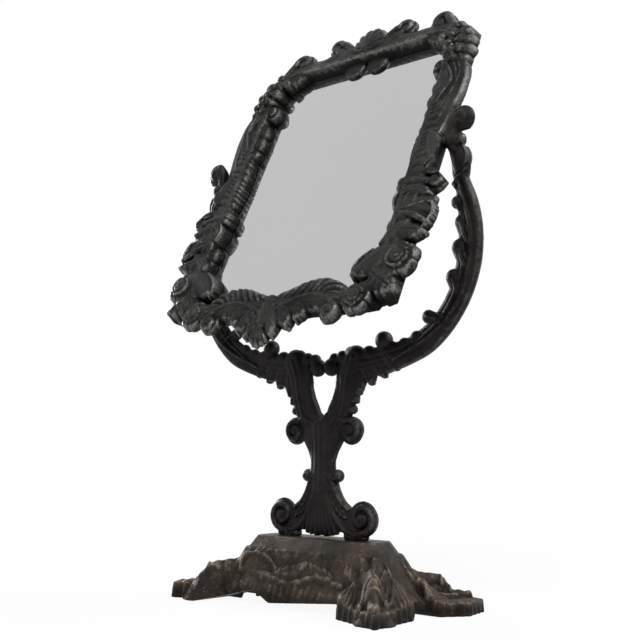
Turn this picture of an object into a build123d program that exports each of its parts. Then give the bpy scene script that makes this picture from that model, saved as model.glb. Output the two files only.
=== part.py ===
from build123d import *
import math
import os

# A cast iron table mirror: a footed base, a two-armed yoke that stands on it,
# and an ornamental frame with its glass that tilts between the arms.
# Millimetres, +Z up, the front faces -Y, and the origin is on the table
# under the middle of the stand.

# Stand
base_height = 51.0          # table to the top of the base
plate_half_x = 57.0         # flat top of the base
plate_half_y = 17.0
plate_cut = 6.0             # cut corners of the flat top
plate_thickness = 6.0
ledge_drop = 10.0           # sloped band under the flat top
ledge_out = 7.5             # how far that band spreads
band_height = 4.0           # upright band under the slope
foot_tip_x = 108.0          # pointed end of each foot
foot_tip_y = 64.0
toe_height = 12.5
knee_height = 29.0          # the hump above each foot
knee_inset = 25.0           # from the foot's tip back to the knee
apron_half_y = 38.0         # middle of the long sides at the table
apron_half_x = 88.0         # middle of the short sides
apron_lift = 5.0            # the long sides stop this far above the table
arch_height = 11.0          # highest part of the opening between the feet
foot_run_long = 56.0        # length of a foot along the long side
foot_run_short = 36.0       # its neighbour, which stops earlier
foot_run_side = 55.0        # length of a foot along the short side
knee_r = 13.0               # half width of the hump
shoulder_x = 12.0           # the faces pass the ledge by this much at knee height
shoulder_y = 8.0
instep_out = 9.0            # from the knee to the instep, each way
finger_r = 4.0              # ridge that runs down each corner
fan_ribs = 4                # on each side of a foot
fan_rib_r = 2.6
shell_wall = 7.0
cavity_slope = 22.0         # upper part of the hollow, where it narrows
cavity_cut = 12.0           # cut corners of the hollow
heel_slope = 5.0            # the feet spread this much towards the table
apron_flutes = 7            # on each long side
apron_flute_pitch = 8.5
apron_flute_r = 3.0

# Yoke
yoke_thickness = 10.0
shaft_half_width = 11.5
shaft_foot_rise = 53.0      # where the splayed foot of the pillar ends, above the base
foot_scroll_x = 40.0
foot_scroll_r = 13.2
foot_scroll_rise = 16.2     # scroll centre above the base
seat_x = 33.0               # pads that the yoke stands on
seat_r = 5.0
seat_height = 8.0
collar_rise = 47.0          # small knobs on the shaft, above the base
collar_r = 5.0
mid_scroll_x = 27.5
mid_scroll_r = 10.3
mid_scroll_rise = 82.0
fork_rise = 138.0           # where the two arms part, above the base
eye_tip_rise = 89.0         # lower point of the tear-shaped opening
eye_top_rise = 125.0
eye_half_width = 13.0
arm_half_span = 147.0       # widest part of the yoke
arm_wide_drop = 78.0        # the widest part is this far below the pivot
arm_waist_drop = 30.0
arm_waist_in = 6.5          # waist of the arm, from the arm's inner face
arm_waist_width = 11.0
arm_root_x = 60.0           # where the arm leaves the pillar
arm_low_run = 26.0          # from there to the lowest part of the bow
arm_elbow_in = 32.0         # bends of the bow, in from the widest part
arm_side_in = 10.0
arm_ridge_r = 2.6           # raised ridge along the outer edge of the arm
arm_ridge_in = 4.5
arm_ridge_runs = 8
arm_lobes = 6               # leaves along the inner edge of each arm
arm_lobe_pitch = 15.0
arm_scroll_r = 10.6
arm_scroll_rise = 14.5      # scroll above the pivot
arm_leaf_half_width = 11.0

# Pivots
pivot_height = 345.0
pivot_r = 2.5
pivot_fit = 0.05            # radial clearance of a running fit
side_gap = 0.1              # end clearance beside each arm
lug_r = 5.5
lock_nut_height = 2.2
lock_nut_flats = 8.0
spring_washer_height = 1.3
spring_washer_sheet = 0.5
spring_washer_r = 4.8
arm_boss_length = 10.4
arm_boss_r = 6.3
head_washer_height = 0.8
head_washer_r = 4.8
pivot_head_r = 4.2
pivot_head_height = 2.6
pivot_thread = 12.0         # screwed into the frame
slot_width = 0.9
slot_depth = 1.1

# Mirror
frame_lean = 25.75          # degrees that the frame leans back at rest
sight_half_width = 92.5     # inner edge of the frame
sight_top = 117.0           # above the pivot, along the frame
sight_bottom = 124.0        # below the pivot
sight_corner = 14.0
side_rail = 17.0
top_rail = 15.0
bottom_rail = 18.0
rail_back = -7.0            # back of the frame, from the pivot's plane
rail_front = 5.5
relief_back = 0.5           # back of the ornament outside the rail
relief_front = 9.0
glass_front = -2.0
glass_thickness = 3.0
rebate_width = 5.0          # how far the pocket for the glass passes the sight
glass_gap = 2.5             # gap round the glass, which the wedges fill
wedge_length = 12.0
wedge_play = 0.2
wedge_side_up = 70.0        # places of the wedges, from the pivot
wedge_side_down = 75.0
wedge_across = 50.0
back_plate_thickness = 1.0
back_plate_lap = 7.5        # the back plate's lap over the frame
lug_reach = 3.3             # the lug beyond the side rail
plate_screw_r = 1.5
plate_screw_length = 6.0
plate_screw_head_r = 2.8
plate_screw_head_height = 1.4
plate_screw_side_up = 45.0  # places of the screws, from the pivot
plate_screw_side_down = 50.0
plate_screw_across = 52.0
plate_screw_margin = 4.0    # from the pocket's edge

# Bolts under the base
bolt_r = 2.5
bolt_reach = 13.0           # into the yoke
bolt_head_r = 4.6
bolt_head_height = 3.4
bolt_washer_r = 5.5
bolt_washer_height = 1.0
bolt_fit = 0.1

frame_plane = Plane(
    origin=(0, 0, pivot_height),
    x_dir=(1, 0, 0),
    z_dir=(0, -math.cos(math.radians(frame_lean)), math.sin(math.radians(frame_lean))),
)
yoke_plane = Plane(origin=(0, 0, 0), x_dir=(1, 0, 0), z_dir=(0, -1, 0))

os.makedirs("parts", exist_ok=True)


def save(name, *solids):
    """Write one sub-part, a single solid or a group of alike solids"""
    body = solids[0] if len(solids) == 1 else Compound(children=list(solids))
    body.label = name
    export_step(body, f"parts/{name}.step")


def mirrored(shape, *planes):
    """The shape with its copies across each plane in turn"""
    copies = [shape]
    for plane in planes:
        copies += [mirror(copy, about=plane) for copy in copies]
    return copies


def joined(first, others):
    """One solid from many"""
    return first.fuse(*others) if others else first


def fused(forms):
    """A list of forms run together"""
    return joined(forms[0], forms[1:])


# Small forms of the ornament. Each is made in a flat drawing with x across,
# y up and z towards the viewer, which the frame and the yoke share.

def dome(x, y, r, low, shoulder, top):
    """Round boss with upright sides and a low dome"""
    rise = top - shoulder
    ball_r = (r * r + rise * rise) / (2 * rise)
    half = math.asin(min(1.0, r / ball_r)) / 2
    middle = (ball_r * math.sin(half), top - ball_r * (1 - math.cos(half)))
    outline = Plane.XZ * (
        Polyline((0, top), (0, low), (r, low), (r, shoulder))
        + ThreePointArc((r, shoulder), middle, (0, top))
    )
    return Pos(x, y, 0) * revolve(make_face(outline), Axis.Z)


def rib(start, end, r):
    """Round bar with round ends"""
    start, end = Vector(*start), Vector(*end)
    length = (end - start).length
    corner = r * math.sqrt(0.5)
    outline = Plane.XZ * (
        ThreePointArc((0, -r), (corner, -corner), (r, 0))
        + Line((r, 0), (r, length))
        + ThreePointArc((r, length), (corner, length + corner), (0, length + r))
        + Line((0, length + r), (0, -r))
    )
    bar = revolve(make_face(outline), Axis.Z)
    return Plane(origin=start, z_dir=end - start).location * bar


def leaf_face(root, tip, half_width):
    """Pointed leaf between two arcs"""
    root, tip = Vector(*root), Vector(*tip)
    along = tip - root
    across = Vector(-along.Y, along.X).normalized() * half_width
    middle = (root + tip) * 0.5
    return make_face(
        ThreePointArc(root, middle + across, tip) + ThreePointArc(tip, middle - across, root)
    )


def leaf(root, tip, half_width, low, high, ridge=1.5):
    """Leaf with a raised middle"""
    root_v, tip_v = Vector(*root), Vector(*tip)
    inner_root = root_v + (tip_v - root_v) * 0.08
    inner_tip = root_v + (tip_v - root_v) * 0.86
    blade = Pos(0, 0, low) * extrude(leaf_face(root, tip, half_width), high - low)
    vein_face = leaf_face((inner_root.X, inner_root.Y), (inner_tip.X, inner_tip.Y), half_width * 0.45)
    vein = Pos(0, 0, low) * extrude(vein_face, high - low + ridge)
    return blade + vein


def volute(x, y, r, low, high, eye=0.42):
    """Scroll end: a low round boss with a ring groove and a raised eye"""
    body = dome(x, y, r, low, high - 2.5, high)
    groove = Pos(x, y, high) * Torus(r * 0.62, 1.0)
    centre = dome(x, y, r * eye, low, high - 1.5, high + 0.8)
    return (body - groove) + centre


def rosette(x, y, r, low, high, petals=6):
    """Flower of round petals about a raised eye"""
    pieces = []
    for i in range(petals):
        turn = 2 * math.pi * (i + 0.5) / petals
        reach = r * 0.58
        petal_x, petal_y = x + reach * math.cos(turn), y + reach * math.sin(turn)
        pieces.append(dome(petal_x, petal_y, r * 0.42, low, high - 3.0, high - 0.5))
    return joined(dome(x, y, r * 0.38, low, high - 2.0, high + 1.0), pieces)


# Base casting

def octagon(half_x, half_y, cut, height):
    """Rectangle with cut corners, at a height"""
    corners = [
        (half_x - cut, -half_y), (half_x, -half_y + cut), (half_x, half_y - cut),
        (half_x - cut, half_y), (-half_x + cut, half_y), (-half_x, half_y - cut),
        (-half_x, -half_y + cut), (-half_x + cut, -half_y),
    ]
    return Pos(0, 0, height) * make_face(Polyline(*corners, close=True))


def star(mid_x, mid_y, tip_x, tip_y, shoulder_x, shoulder_y, height):
    """Four-pointed outline with drawn-in sides, at a height"""
    quarter = [(shoulder_x, -mid_y), (tip_x, -tip_y), (mid_x, -shoulder_y)]
    right = quarter + [(x, -y) for x, y in reversed(quarter)]
    left = [(-x, -y) for x, y in right]
    return Pos(0, 0, height) * make_face(Polyline(*(right + left), close=True))


def make_base():
    """Hollow four-footed base, open below, with an arch between each pair of feet"""
    ledge_z = base_height - ledge_drop
    band_z = ledge_z - band_height
    ledge_x, ledge_y = plate_half_x + ledge_out, plate_half_y + ledge_out
    knee_x, knee_y = foot_tip_x - knee_inset, foot_tip_y - knee_inset
    instep_x, instep_y = knee_x + instep_out, knee_y + instep_out
    heel_x, heel_y = foot_tip_x - foot_run_long, foot_tip_y - foot_run_side

    top = loft([
        octagon(ledge_x, ledge_y, plate_cut, ledge_z),
        octagon(plate_half_x, plate_half_y, plate_cut, base_height),
    ], ruled=True)
    band = extrude(octagon(ledge_x - 1, ledge_y - 1, plate_cut, band_z - 1), ledge_z - band_z + 1)
    face_x, face_y = ledge_x + shoulder_x, ledge_y + shoulder_y
    shoulder = loft([
        star(face_x, face_y, knee_x, knee_y, heel_x - 6, ledge_y - 6, knee_height),
        star(ledge_x - 1, ledge_y - 1, ledge_x - 0.5, ledge_y - 0.5, heel_x - 6, ledge_y - 10, band_z),
    ], ruled=True)
    skirt = loft([
        star(apron_half_x, apron_half_y, instep_x, instep_y, heel_x, heel_y + 4, toe_height),
        star(face_x, face_y, knee_x, knee_y, heel_x - 6, ledge_y - 6, knee_height),
    ], ruled=True)
    wall = extrude(
        star(apron_half_x, apron_half_y, instep_x, instep_y, heel_x, heel_y + 4, 0), toe_height)
    toe_outline = Polyline(
        (heel_x, -apron_half_y - 7), (foot_tip_x, -foot_tip_y),
        (foot_tip_x - 13, -heel_y), (foot_tip_x - 30, -heel_y),
        (heel_x, -apron_half_y + 8), close=True)
    toe = extrude(make_face(toe_outline), toe_height)
    toe = chamfer(toe.faces().sort_by(Axis.Z)[-1].edges(), 2.0)
    knee = dome(knee_x - 1, -knee_y + 1, knee_r, toe_height - 4, knee_height - 6, knee_height + 1)
    instep = (instep_x, -instep_y, toe_height + 1)
    finger = [
        rib((ledge_x - 2, -ledge_y + 2, band_z - 2), (knee_x, -knee_y, knee_height - 1), finger_r),
        rib((knee_x, -knee_y, knee_height - 1), instep, finger_r),
        rib(instep, (foot_tip_x - 6, -foot_tip_y + 5, toe_height - 2), finger_r + 0.5),
    ]
    fans = []
    for i in range(fan_ribs):
        share = (i + 0.5) / fan_ribs
        low = toe_height - 3
        front = (foot_tip_x - 10 - share * (foot_run_long - 16), -foot_tip_y + 6 + share * 14, low)
        side = (foot_tip_x - 5 - share * 8, -foot_tip_y + 10 + share * (foot_run_side - 18), low)
        root = (knee_x - 6 - 12 * share, -knee_y + 6 + 6 * share, knee_height - 4)
        fans += [rib(root, front, fan_rib_r), rib(root, side, fan_rib_r)]
    foot = joined(toe, [knee] + finger + fans)
    feet = mirrored(foot, Plane.YZ, Plane.XZ)

    flutes = []
    for i in range(apron_flutes):
        x = (i - (apron_flutes - 1) / 2) * apron_flute_pitch
        high = (x, -ledge_y - 6, knee_height - 2)
        flutes.append(rib(high, (x * 1.1, -apron_half_y, apron_lift + 4), apron_flute_r))
    flutes += [mirror(flute, about=Plane.XZ) for flute in flutes]

    body = joined(top, [band, shoulder, skirt, wall] + feet + flutes)

    cavity_top = base_height - plate_thickness
    cavity_low_x, cavity_low_y = apron_half_x - shell_wall - 6, apron_half_y - shell_wall
    roof_z = cavity_top - cavity_slope
    cavity = extrude(octagon(cavity_low_x, cavity_low_y, cavity_cut, -1), roof_z + 1)
    roof = loft([
        octagon(cavity_low_x, cavity_low_y, cavity_cut, roof_z),
        octagon(plate_half_x - shell_wall, plate_half_y - shell_wall, 3, cavity_top),
    ], ruled=True)
    short_heel = foot_tip_x - foot_run_short
    front_gap = Plane.XZ * make_face(
        Polyline((-short_heel, -1), (-short_heel, 1), (-40, arch_height), (-30, arch_height),
                 (-20, apron_lift), (heel_x, apron_lift), (heel_x, -1), close=True))
    front_gap = extrude(front_gap, foot_tip_y * 2)
    back_gap = Rot(0, 0, 180) * front_gap
    side_arch = Plane.YZ * make_face(
        Polyline((-heel_y - heel_slope, -1), (-heel_y, arch_height), (heel_y - heel_slope, arch_height),
                 (heel_y + heel_slope, -1), close=True))
    side_gap_right = extrude(side_arch, foot_tip_x * 2)
    side_gap_left = Rot(0, 0, 180) * side_gap_right
    clear = Pos(0, 0, -base_height / 2) * Box(foot_tip_x * 3, foot_tip_y * 3, base_height)
    hole = Cylinder(bolt_r + bolt_fit, plate_thickness * 2)
    holes = [Pos(side * seat_x, 0, base_height - plate_thickness / 2) * hole for side in (-1, 1)]
    return body - cavity - roof - front_gap - back_gap - side_gap_right - side_gap_left - clear - holes


# Yoke casting. Its right front quarter is drawn from the front, with x across
# and y as the height above the table, and mirrored to the left and to the back.

def yoke_levels():
    """Heights of the lower scroll, the middle scroll and the fork"""
    return (
        base_height + foot_scroll_rise,
        base_height + mid_scroll_rise,
        base_height + fork_rise,
    )


def yoke_pillar():
    """Right half of the pillar, from the seat to the fork"""
    scroll_z, mid_z, fork_z = yoke_levels()
    seat_z = base_height
    neck_z = seat_z + shaft_foot_rise
    scroll_low = scroll_z - foot_scroll_r + 0.3
    foot = make_face(
        Polyline((0, neck_z), (0, seat_z + 4), (19, seat_z + 4), (21, seat_z + 1.5), (30, scroll_low),
                 (foot_scroll_x, scroll_low), (foot_scroll_x, scroll_z), (29, scroll_z + 7))
        + ThreePointArc((29, scroll_z + 7), (18, seat_z + 34), (shaft_half_width, neck_z))
        + Line((shaft_half_width, neck_z), (0, neck_z)))
    flare = Spline((shaft_half_width, neck_z), (shaft_half_width, neck_z + 11), (19, mid_z - 3),
                   (26, mid_z + 12), (28, fork_z - 39), (46, fork_z - 23), (76, fork_z - 7))
    shaft = make_face(
        flare
        + Polyline(flare @ 1, (66, fork_z + 10), (45, fork_z + 5), (27, fork_z + 4), (8, fork_z + 3),
                   (0, fork_z), (0, neck_z - 3), (shaft_half_width, neck_z - 3), flare @ 0))
    return [foot, shaft]


def arm_edges():
    """Outer and inner edge of the right arm, from the pillar up and from the waist down"""
    arm_in = arm_inner_face()
    fork_z = yoke_levels()[2]
    waist_z = pivot_height - arm_waist_drop
    wide_z = pivot_height - arm_wide_drop
    waist_x = arm_in + arm_waist_in
    outer = Spline(
        (arm_root_x, fork_z - 15), (arm_root_x + arm_low_run, fork_z - 5),
        (arm_half_span - arm_elbow_in, fork_z + 11), (arm_half_span - arm_side_in, fork_z + 39),
        (arm_half_span, wide_z), (waist_x + arm_waist_width, waist_z))
    inner = Spline(
        (waist_x, waist_z), (arm_in + 5, wide_z - 7), (arm_in - 4, fork_z + 43),
        (arm_in - 30, fork_z + 19), (arm_root_x, fork_z + 8))
    return outer, inner


def yoke_arm():
    """Arm with the leaf at its top and the neck of its scroll"""
    arm_in = arm_inner_face()
    outer, inner = arm_edges()
    bow = make_face(outer + Line(outer @ 1, inner @ 0) + inner + Line(inner @ 1, outer @ 0))
    leaf_x = arm_in + arm_leaf_half_width
    top_leaf = leaf_face((leaf_x, pivot_height - arm_waist_drop - 5), (leaf_x - 1.5, pivot_height + 3),
                         arm_leaf_half_width)
    neck = leaf_face((arm_in + 5, pivot_height - 14), (arm_in + 5, pivot_height + arm_scroll_rise + 8), 5.0)
    return [bow, top_leaf, neck]


def yoke_relief(front):
    """Scrolls, leaf tips and ridges of the right half, up to the front face"""
    arm_in = arm_inner_face()
    scroll_z, mid_z, fork_z = yoke_levels()
    forms = [
        volute(foot_scroll_x, scroll_z, foot_scroll_r, 0, front),
        dome(16, base_height + collar_rise, collar_r, 0, front - 2.0, front),
        volute(mid_scroll_x, mid_z, mid_scroll_r, 0, front),
        dome(30, mid_z + 15, 4.0, 0, front - 1.5, front),
        dome(55, fork_z + 11, 7.5, 0, front - 2.5, front + 1.0),
        dome(7, fork_z - 6, 7.0, 0, front - 2.5, front + 1.0),
        volute(arm_in + 11.5, pivot_height + arm_scroll_rise, arm_scroll_r, 0, front),
    ]
    # Round leaf tips below and above the fork: place across, height over the fork, radius
    tips = [(34, -28, 5.5), (46, -21.5, 5.5), (57, -16.5, 5.0), (68, -11.5, 5.0),
            (27, 1.0, 5.0), (38, 2.0, 4.5), (16, 0.5, 4.5), (80, 13.0, 4.5), (92, 18.0, 5.0)]
    forms += [dome(x, fork_z + rise, r, 0, front - 2.0, front) for x, rise, r in tips]
    # Leaves along the inner edge, one below the other, which follow the bow inwards
    for i in range(arm_lobes):
        drop = arm_waist_drop + 8 + i * arm_lobe_pitch
        drawn_in = 9.0 * max(0.0, (drop - 85) / 27)
        root = (arm_in + 16 - drawn_in, pivot_height - drop - 10)
        tip = (arm_in + 3 - drawn_in, pivot_height - drop + 4)
        forms.append(leaf(root, tip, 5.0, 0, front - 1.0, 1.0))
    # Fan of flutes at the foot of the pillar
    for i in range(3):
        top = (3 + i * 2.4, base_height + 40, front - 0.8)
        forms.append(rib(top, (1 + i * 7.0, base_height + 8, front - 0.8), 2.0))
    # Ridge along the outer edge of the bow
    outer = arm_edges()[0]
    path = []
    for i in range(arm_ridge_runs + 1):
        share = 0.06 + 0.74 * i / arm_ridge_runs
        across = (outer % share).rotate(Axis.Z, 90) * arm_ridge_in
        path.append(outer @ share + across + Vector(0, 0, front - 1.2))
    forms += [rib(start, end, arm_ridge_r) for start, end in zip(path, path[1:])]
    return forms


def tear_opening():
    """Tear-shaped opening under the fork, right through"""
    tip_z = base_height + eye_tip_rise
    top_z = base_height + eye_top_rise
    wide_z = tip_z + (top_z - tip_z) * 0.67
    right = Spline((0, tip_z), (eye_half_width * 0.72, wide_z - 12), (eye_half_width, wide_z),
                   (eye_half_width * 0.62, top_z), (0, top_z - 3))
    face = make_face(right + mirror(right, about=Plane.YZ))
    return Pos(0, 0, -yoke_thickness) * extrude(face, 2 * yoke_thickness)


def make_yoke():
    """Pillar and two arms in one casting, with scrolls and leaves"""
    front = yoke_thickness / 2
    arm_in = arm_inner_face()
    flat = [extrude(face, front) for face in yoke_pillar() + yoke_arm()]
    quarters = mirrored(joined(flat[0], flat[1:] + yoke_relief(front)), Plane.YZ, Plane.XY)
    casting = yoke_plane.location * (joined(quarters[0], quarters[1:]) - tear_opening())

    reach = 4 * arm_boss_r
    seat = Pos(0, 0, base_height + seat_height / 2) * Cylinder(seat_r, seat_height)
    bolt_hole = Pos(0, 0, base_height + bolt_reach / 2) * Cylinder(bolt_r + pivot_fit, bolt_reach + 0.6)
    pivot = Pos(arm_in, 0, pivot_height) * Rot(0, 90, 0)
    boss = pivot * Pos(0, 0, arm_boss_length / 2) * Cylinder(arm_boss_r, arm_boss_length)
    inside = pivot * Pos(0, 0, -reach / 2) * Box(2.4 * reach, 2 * reach, reach)
    outside = pivot * Pos(0, 0, arm_boss_length + reach / 2) * Cylinder(arm_boss_r, reach)
    bore = pivot * Pos(0, 0, arm_boss_length / 2) * Cylinder(pivot_r + pivot_fit, 2 * reach)
    for side in (1, -1):
        turn = Rot(0, 0, 0 if side == 1 else 180)
        casting = (casting + turn * boss) - turn * inside - turn * outside - turn * bore
        casting = (casting + Pos(side * seat_x, 0, 0) * seat) - Pos(side * seat_x, 0, 0) * bolt_hole
    below = Pos(0, 0, base_height / 2) * Box(2 * arm_half_span, 4 * yoke_thickness, base_height)
    return casting - below


def lug_face():
    """Outer face of the frame's pivot lug, from the middle"""
    return sight_half_width + side_rail + lug_reach


def arm_inner_face():
    """Inner face of the yoke's arm, past the lock nut and the spring washer"""
    return lug_face() + lock_nut_height + spring_washer_height + side_gap


# Frame casting, drawn in its own leaning plane with the pivot at the middle

def sight_face(grow, corner):
    """Rounded outline of the opening, grown all round"""
    width = 2 * (sight_half_width + grow)
    height = sight_top + sight_bottom + 2 * grow
    middle = (sight_top - sight_bottom) / 2
    return Pos(0, middle) * RectangleRounded(width, height, corner)


def rail_edges():
    """Middle and outer edge of the side rail, and the outer edges above and below"""
    return (
        sight_half_width + side_rail / 2,
        sight_half_width + side_rail,
        sight_top + top_rail,
        sight_bottom + bottom_rail,
    )


def make_rail():
    """Plain rail that carries the ornament"""
    _, side_out, top_out, low_out = rail_edges()
    outline = Pos(0, (top_out - low_out) / 2) * RectangleRounded(2 * side_out, top_out + low_out, 16)
    rail = Pos(0, 0, rail_back) * extrude(outline, rail_front - rail_back)
    return fillet(rail.faces().sort_by(Axis.Z)[-1].edges(), 5.0)


def upper_ornament():
    """Scrolls, leaves and flower of the upper right corner and side"""
    side, side_out, top_out, _ = rail_edges()
    low, high, leaf_top = relief_back, relief_front, relief_front - 1.4
    return [
        # Top scroll and the pointed leaf beside it
        volute(side_out - 36, top_out + 3, 11.0, low, high),
        leaf((side_out - 24, top_out - 18), (side_out - 11, top_out - 6), 6.0, low, leaf_top),
        # Scroll beside the shell and the leaf that joins the two
        volute(37, top_out + 10, 9.0, low, high),
        leaf((36, top_out + 5), (68, top_out - 5), 6.5, low - 1, leaf_top - 0.8),
        # Flower on the corner
        rosette(side + 3, sight_top - 24, 18.5, low, high + 1, 7),
        leaf((side - 8, sight_top - 20), (side + 6, sight_top + 1), 7.0, low, leaf_top),
        # Long C-shaped scroll on the side
        volute(side - 7, sight_top - 40, 7.0, low, high - 1),
        leaf((side + 8, sight_top - 44), (side + 4, 24), 9.5, low, leaf_top),
    ]


def lower_ornament():
    """Scrolls, leaf bunch and flowers of the lower right side and corner"""
    side, side_out, _, low_out = rail_edges()
    low, high, leaf_top = relief_back, relief_front, relief_front - 1.4
    return [
        # Side scroll that stands out below the pivot
        volute(side_out + 12.5, -41, 8.0, low, high),
        leaf((side, -26), (side_out + 14, -46), 9.0, low, leaf_top),
        # Leaf bunch below it
        dome(side + 12, -62, 12.5, low, high - 3, high),
        dome(side + 15.5, -73, 10.5, low, high - 3.3, high),
        leaf((side + 2, -80), (side_out + 18, -92), 8.0, low, leaf_top),
        # Rose on the corner with its leaf
        rosette(side + 7, -sight_bottom + 13, 14.5, low, high + 1, 6),
        leaf((side, -sight_bottom - 2), (side_out + 7.5, -sight_bottom - 16), 9.5, low, leaf_top),
        # Small flower and the scroll ball beside it
        rosette(side - 20, -low_out + 2, 12.5, low, high, 6),
        volute(side - 40, -low_out - 5, 9.0, low, high),
        # Lumps that lead to the pendant
        dome(25, -low_out - 9.5, 6.0, low, high - 3, high - 1),
        dome(14, -low_out - 17, 7.5, low, high - 3.3, high - 1),
        leaf((30, -low_out + 6), (6, -low_out - 12), 8.0, low, leaf_top),
    ]


def flutes():
    """Round flutes of the right half: round the side, on the lower rail and on the upper rail"""
    side, _, top_out, low_out = rail_edges()
    bars = []
    for i in range(8):
        rise = 22 - i * 7.0
        bars.append(rib((side - 6, rise - 3, rail_front - 2), (side + 7.5, rise + 6, rail_front - 3.2), 3.3))
    for i in range(7):
        root = (side - 46 - i * 4.6, -low_out + 5, rail_front - 0.6)
        tip = (side - 38 - i * 8.5, -sight_bottom - 3, rail_front - 0.3)
        bars.append(rib(root, tip, 2.2))
    for i in range(3):
        shift = i * 4.6
        bars.append(rib((30, sight_top + 3 + shift, rail_front - 0.5),
                        (side - 24, sight_top + 1 + shift, rail_front - 0.5), 2.1))
    return bars


def inner_lobes():
    """Round lobes that scallop the right half of the frame's inner edge"""
    side = rail_edges()[0]
    low, shoulder, high = glass_front + 1, relief_front - 4.6, relief_front - 1.7
    spots = [(side - 3, rise, 8.0) for rise in (85.0, 62.0, 40.0, -55.0, -73.0, -91.0)]
    spots += [(x, sight_top + 5.5, 9.0) for x in (11.0, 33.0, 56.0)]
    spots.append((side - 26, sight_top - 6, 8.0))
    lobes = [dome(x, y, r, low, shoulder, high) for x, y, r in spots]
    corner_root = (side - 6, -sight_bottom + 30)
    corner_tip = (side - 34, -sight_bottom + 8)
    lobes.append(leaf(corner_root, corner_tip, 11.0, low, relief_front - 2.1))
    return lobes


def head_and_foot():
    """Shell on the top rail and pendant fan under the lower rail"""
    _, _, top_out, low_out = rail_edges()
    high = relief_front
    forms = [dome(0, top_out - 4, 9.0, relief_back - 2, high - 2, high + 1)]
    for i in range(7):
        turn = math.radians(90 + (i - 3) * 24)
        root = (4 * math.cos(turn), top_out - 7 + 4 * math.sin(turn), high - 2.5)
        tip = (13.5 * math.cos(turn), top_out - 7 + 24.5 * math.sin(turn), high - 3.5)
        forms.append(rib(root, tip, 4.2))
    for i in range(3):
        turn = math.radians(-90 + (i - 1) * 22)
        root = (3 * (i - 1), -low_out - 4, high - 3)
        tip = (17 * math.cos(turn), -low_out - 12 + 17.5 * math.sin(turn), high - 4)
        forms.append(rib(root, tip, 3.6))
    web_back, web_front = relief_back + 0.3, relief_back + 4.3
    webs = [
        ((-19, top_out - 4), (19, top_out - 4), (11, top_out + 16), (-11, top_out + 16)),
        ((-24, -low_out + 3), (24, -low_out + 3), (5, -low_out - 29), (-5, -low_out - 29)),
    ]
    for corners in webs:
        web = extrude(make_face(Polyline(*corners, close=True)), web_front - web_back)
        forms.append(Pos(0, 0, web_back) * web)
    return forms


def make_frame():
    """Ornamental frame with a pocket behind for the glass"""
    lug_length = 8 + lug_reach
    lug = Pos(lug_face() - lug_length / 2, 0, 0) * Rot(0, 90, 0) * Cylinder(lug_r, lug_length)
    right = joined(lug, [fused(upper_ornament()), fused(lower_ornament()), fused(flutes())])
    body = make_rail().fuse(fused(head_and_foot()))
    body = body.fuse(right, mirror(right, about=Plane.YZ))
    body = body - Pos(0, 0, glass_front) * extrude(sight_face(0, sight_corner), 40)
    lobes = fused(inner_lobes())
    body = body.fuse(lobes, mirror(lobes, about=Plane.YZ))
    pocket_depth = glass_front - rail_back
    body = body - Pos(0, 0, rail_back - 1) * extrude(sight_face(rebate_width, 6), pocket_depth + 1)

    bore_length = pivot_thread + 1
    for side in (1, -1):
        past_lug = Pos(side * (lug_face() + 10), 0, 0) * Box(20, 28, 40)
        bore = Pos(side * (lug_face() - bore_length / 2 + 0.5), 0, 0) * Rot(0, 90, 0)
        body = body - past_lug - bore * Cylinder(pivot_r + pivot_fit, bore_length + 1)
    for x, y in plate_screw_spots():
        hole = Pos(x, y, rail_back + (plate_screw_length - 1) / 2)
        body = body - hole * Cylinder(plate_screw_r + pivot_fit, plate_screw_length + 1)
    return frame_plane.location * body


def plate_screw_spots():
    """Places of the eight screws that hold the back plate"""
    margin = rebate_width + plate_screw_margin
    x_out = sight_half_width + margin
    spots = [
        (x_out, plate_screw_side_up), (x_out, -plate_screw_side_down),
        (plate_screw_across, sight_top + margin), (plate_screw_across, -sight_bottom - margin),
    ]
    return spots + [(-x, y) for x, y in spots]


def make_glass():
    """Silvered glass plate"""
    plate = extrude(sight_face(rebate_width - glass_gap, 8), glass_thickness)
    return frame_plane.location * (Pos(0, 0, glass_front - glass_thickness) * plate)


def make_card():
    """Packing card between the glass and the back plate"""
    depth = glass_front - glass_thickness - rail_back
    card = extrude(sight_face(rebate_width - glass_gap, 8), depth)
    return frame_plane.location * (Pos(0, 0, rail_back) * card)


def make_wedges():
    """Small wooden wedges that keep the glass in the middle of its pocket"""
    depth = glass_thickness
    thin = glass_gap - wedge_play
    x = sight_half_width + rebate_width - glass_gap / 2
    top = sight_top + rebate_width - glass_gap / 2
    low = -sight_bottom - rebate_width + glass_gap / 2
    z = glass_front - depth / 2
    places = [(x, wedge_side_up, thin, wedge_length), (x, -wedge_side_down, thin, wedge_length),
              (wedge_across, top, wedge_length, thin), (wedge_across, low, wedge_length, thin)]
    wedges = []
    for spot_x, spot_y, size_x, size_y in places:
        for side in (1, -1):
            block = Pos(side * spot_x, spot_y, z) * Box(size_x, size_y, depth)
            wedges.append(frame_plane.location * block)
    return wedges


def make_back_plate():
    """Sheet iron plate over the back"""
    grow = rebate_width + back_plate_lap
    plate = Pos(0, 0, rail_back - back_plate_thickness) * extrude(sight_face(grow, 10), back_plate_thickness)
    for x, y in plate_screw_spots():
        plate = plate - Pos(x, y, rail_back) * Cylinder(plate_screw_r + 0.2, 6)
    return frame_plane.location * plate


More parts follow.
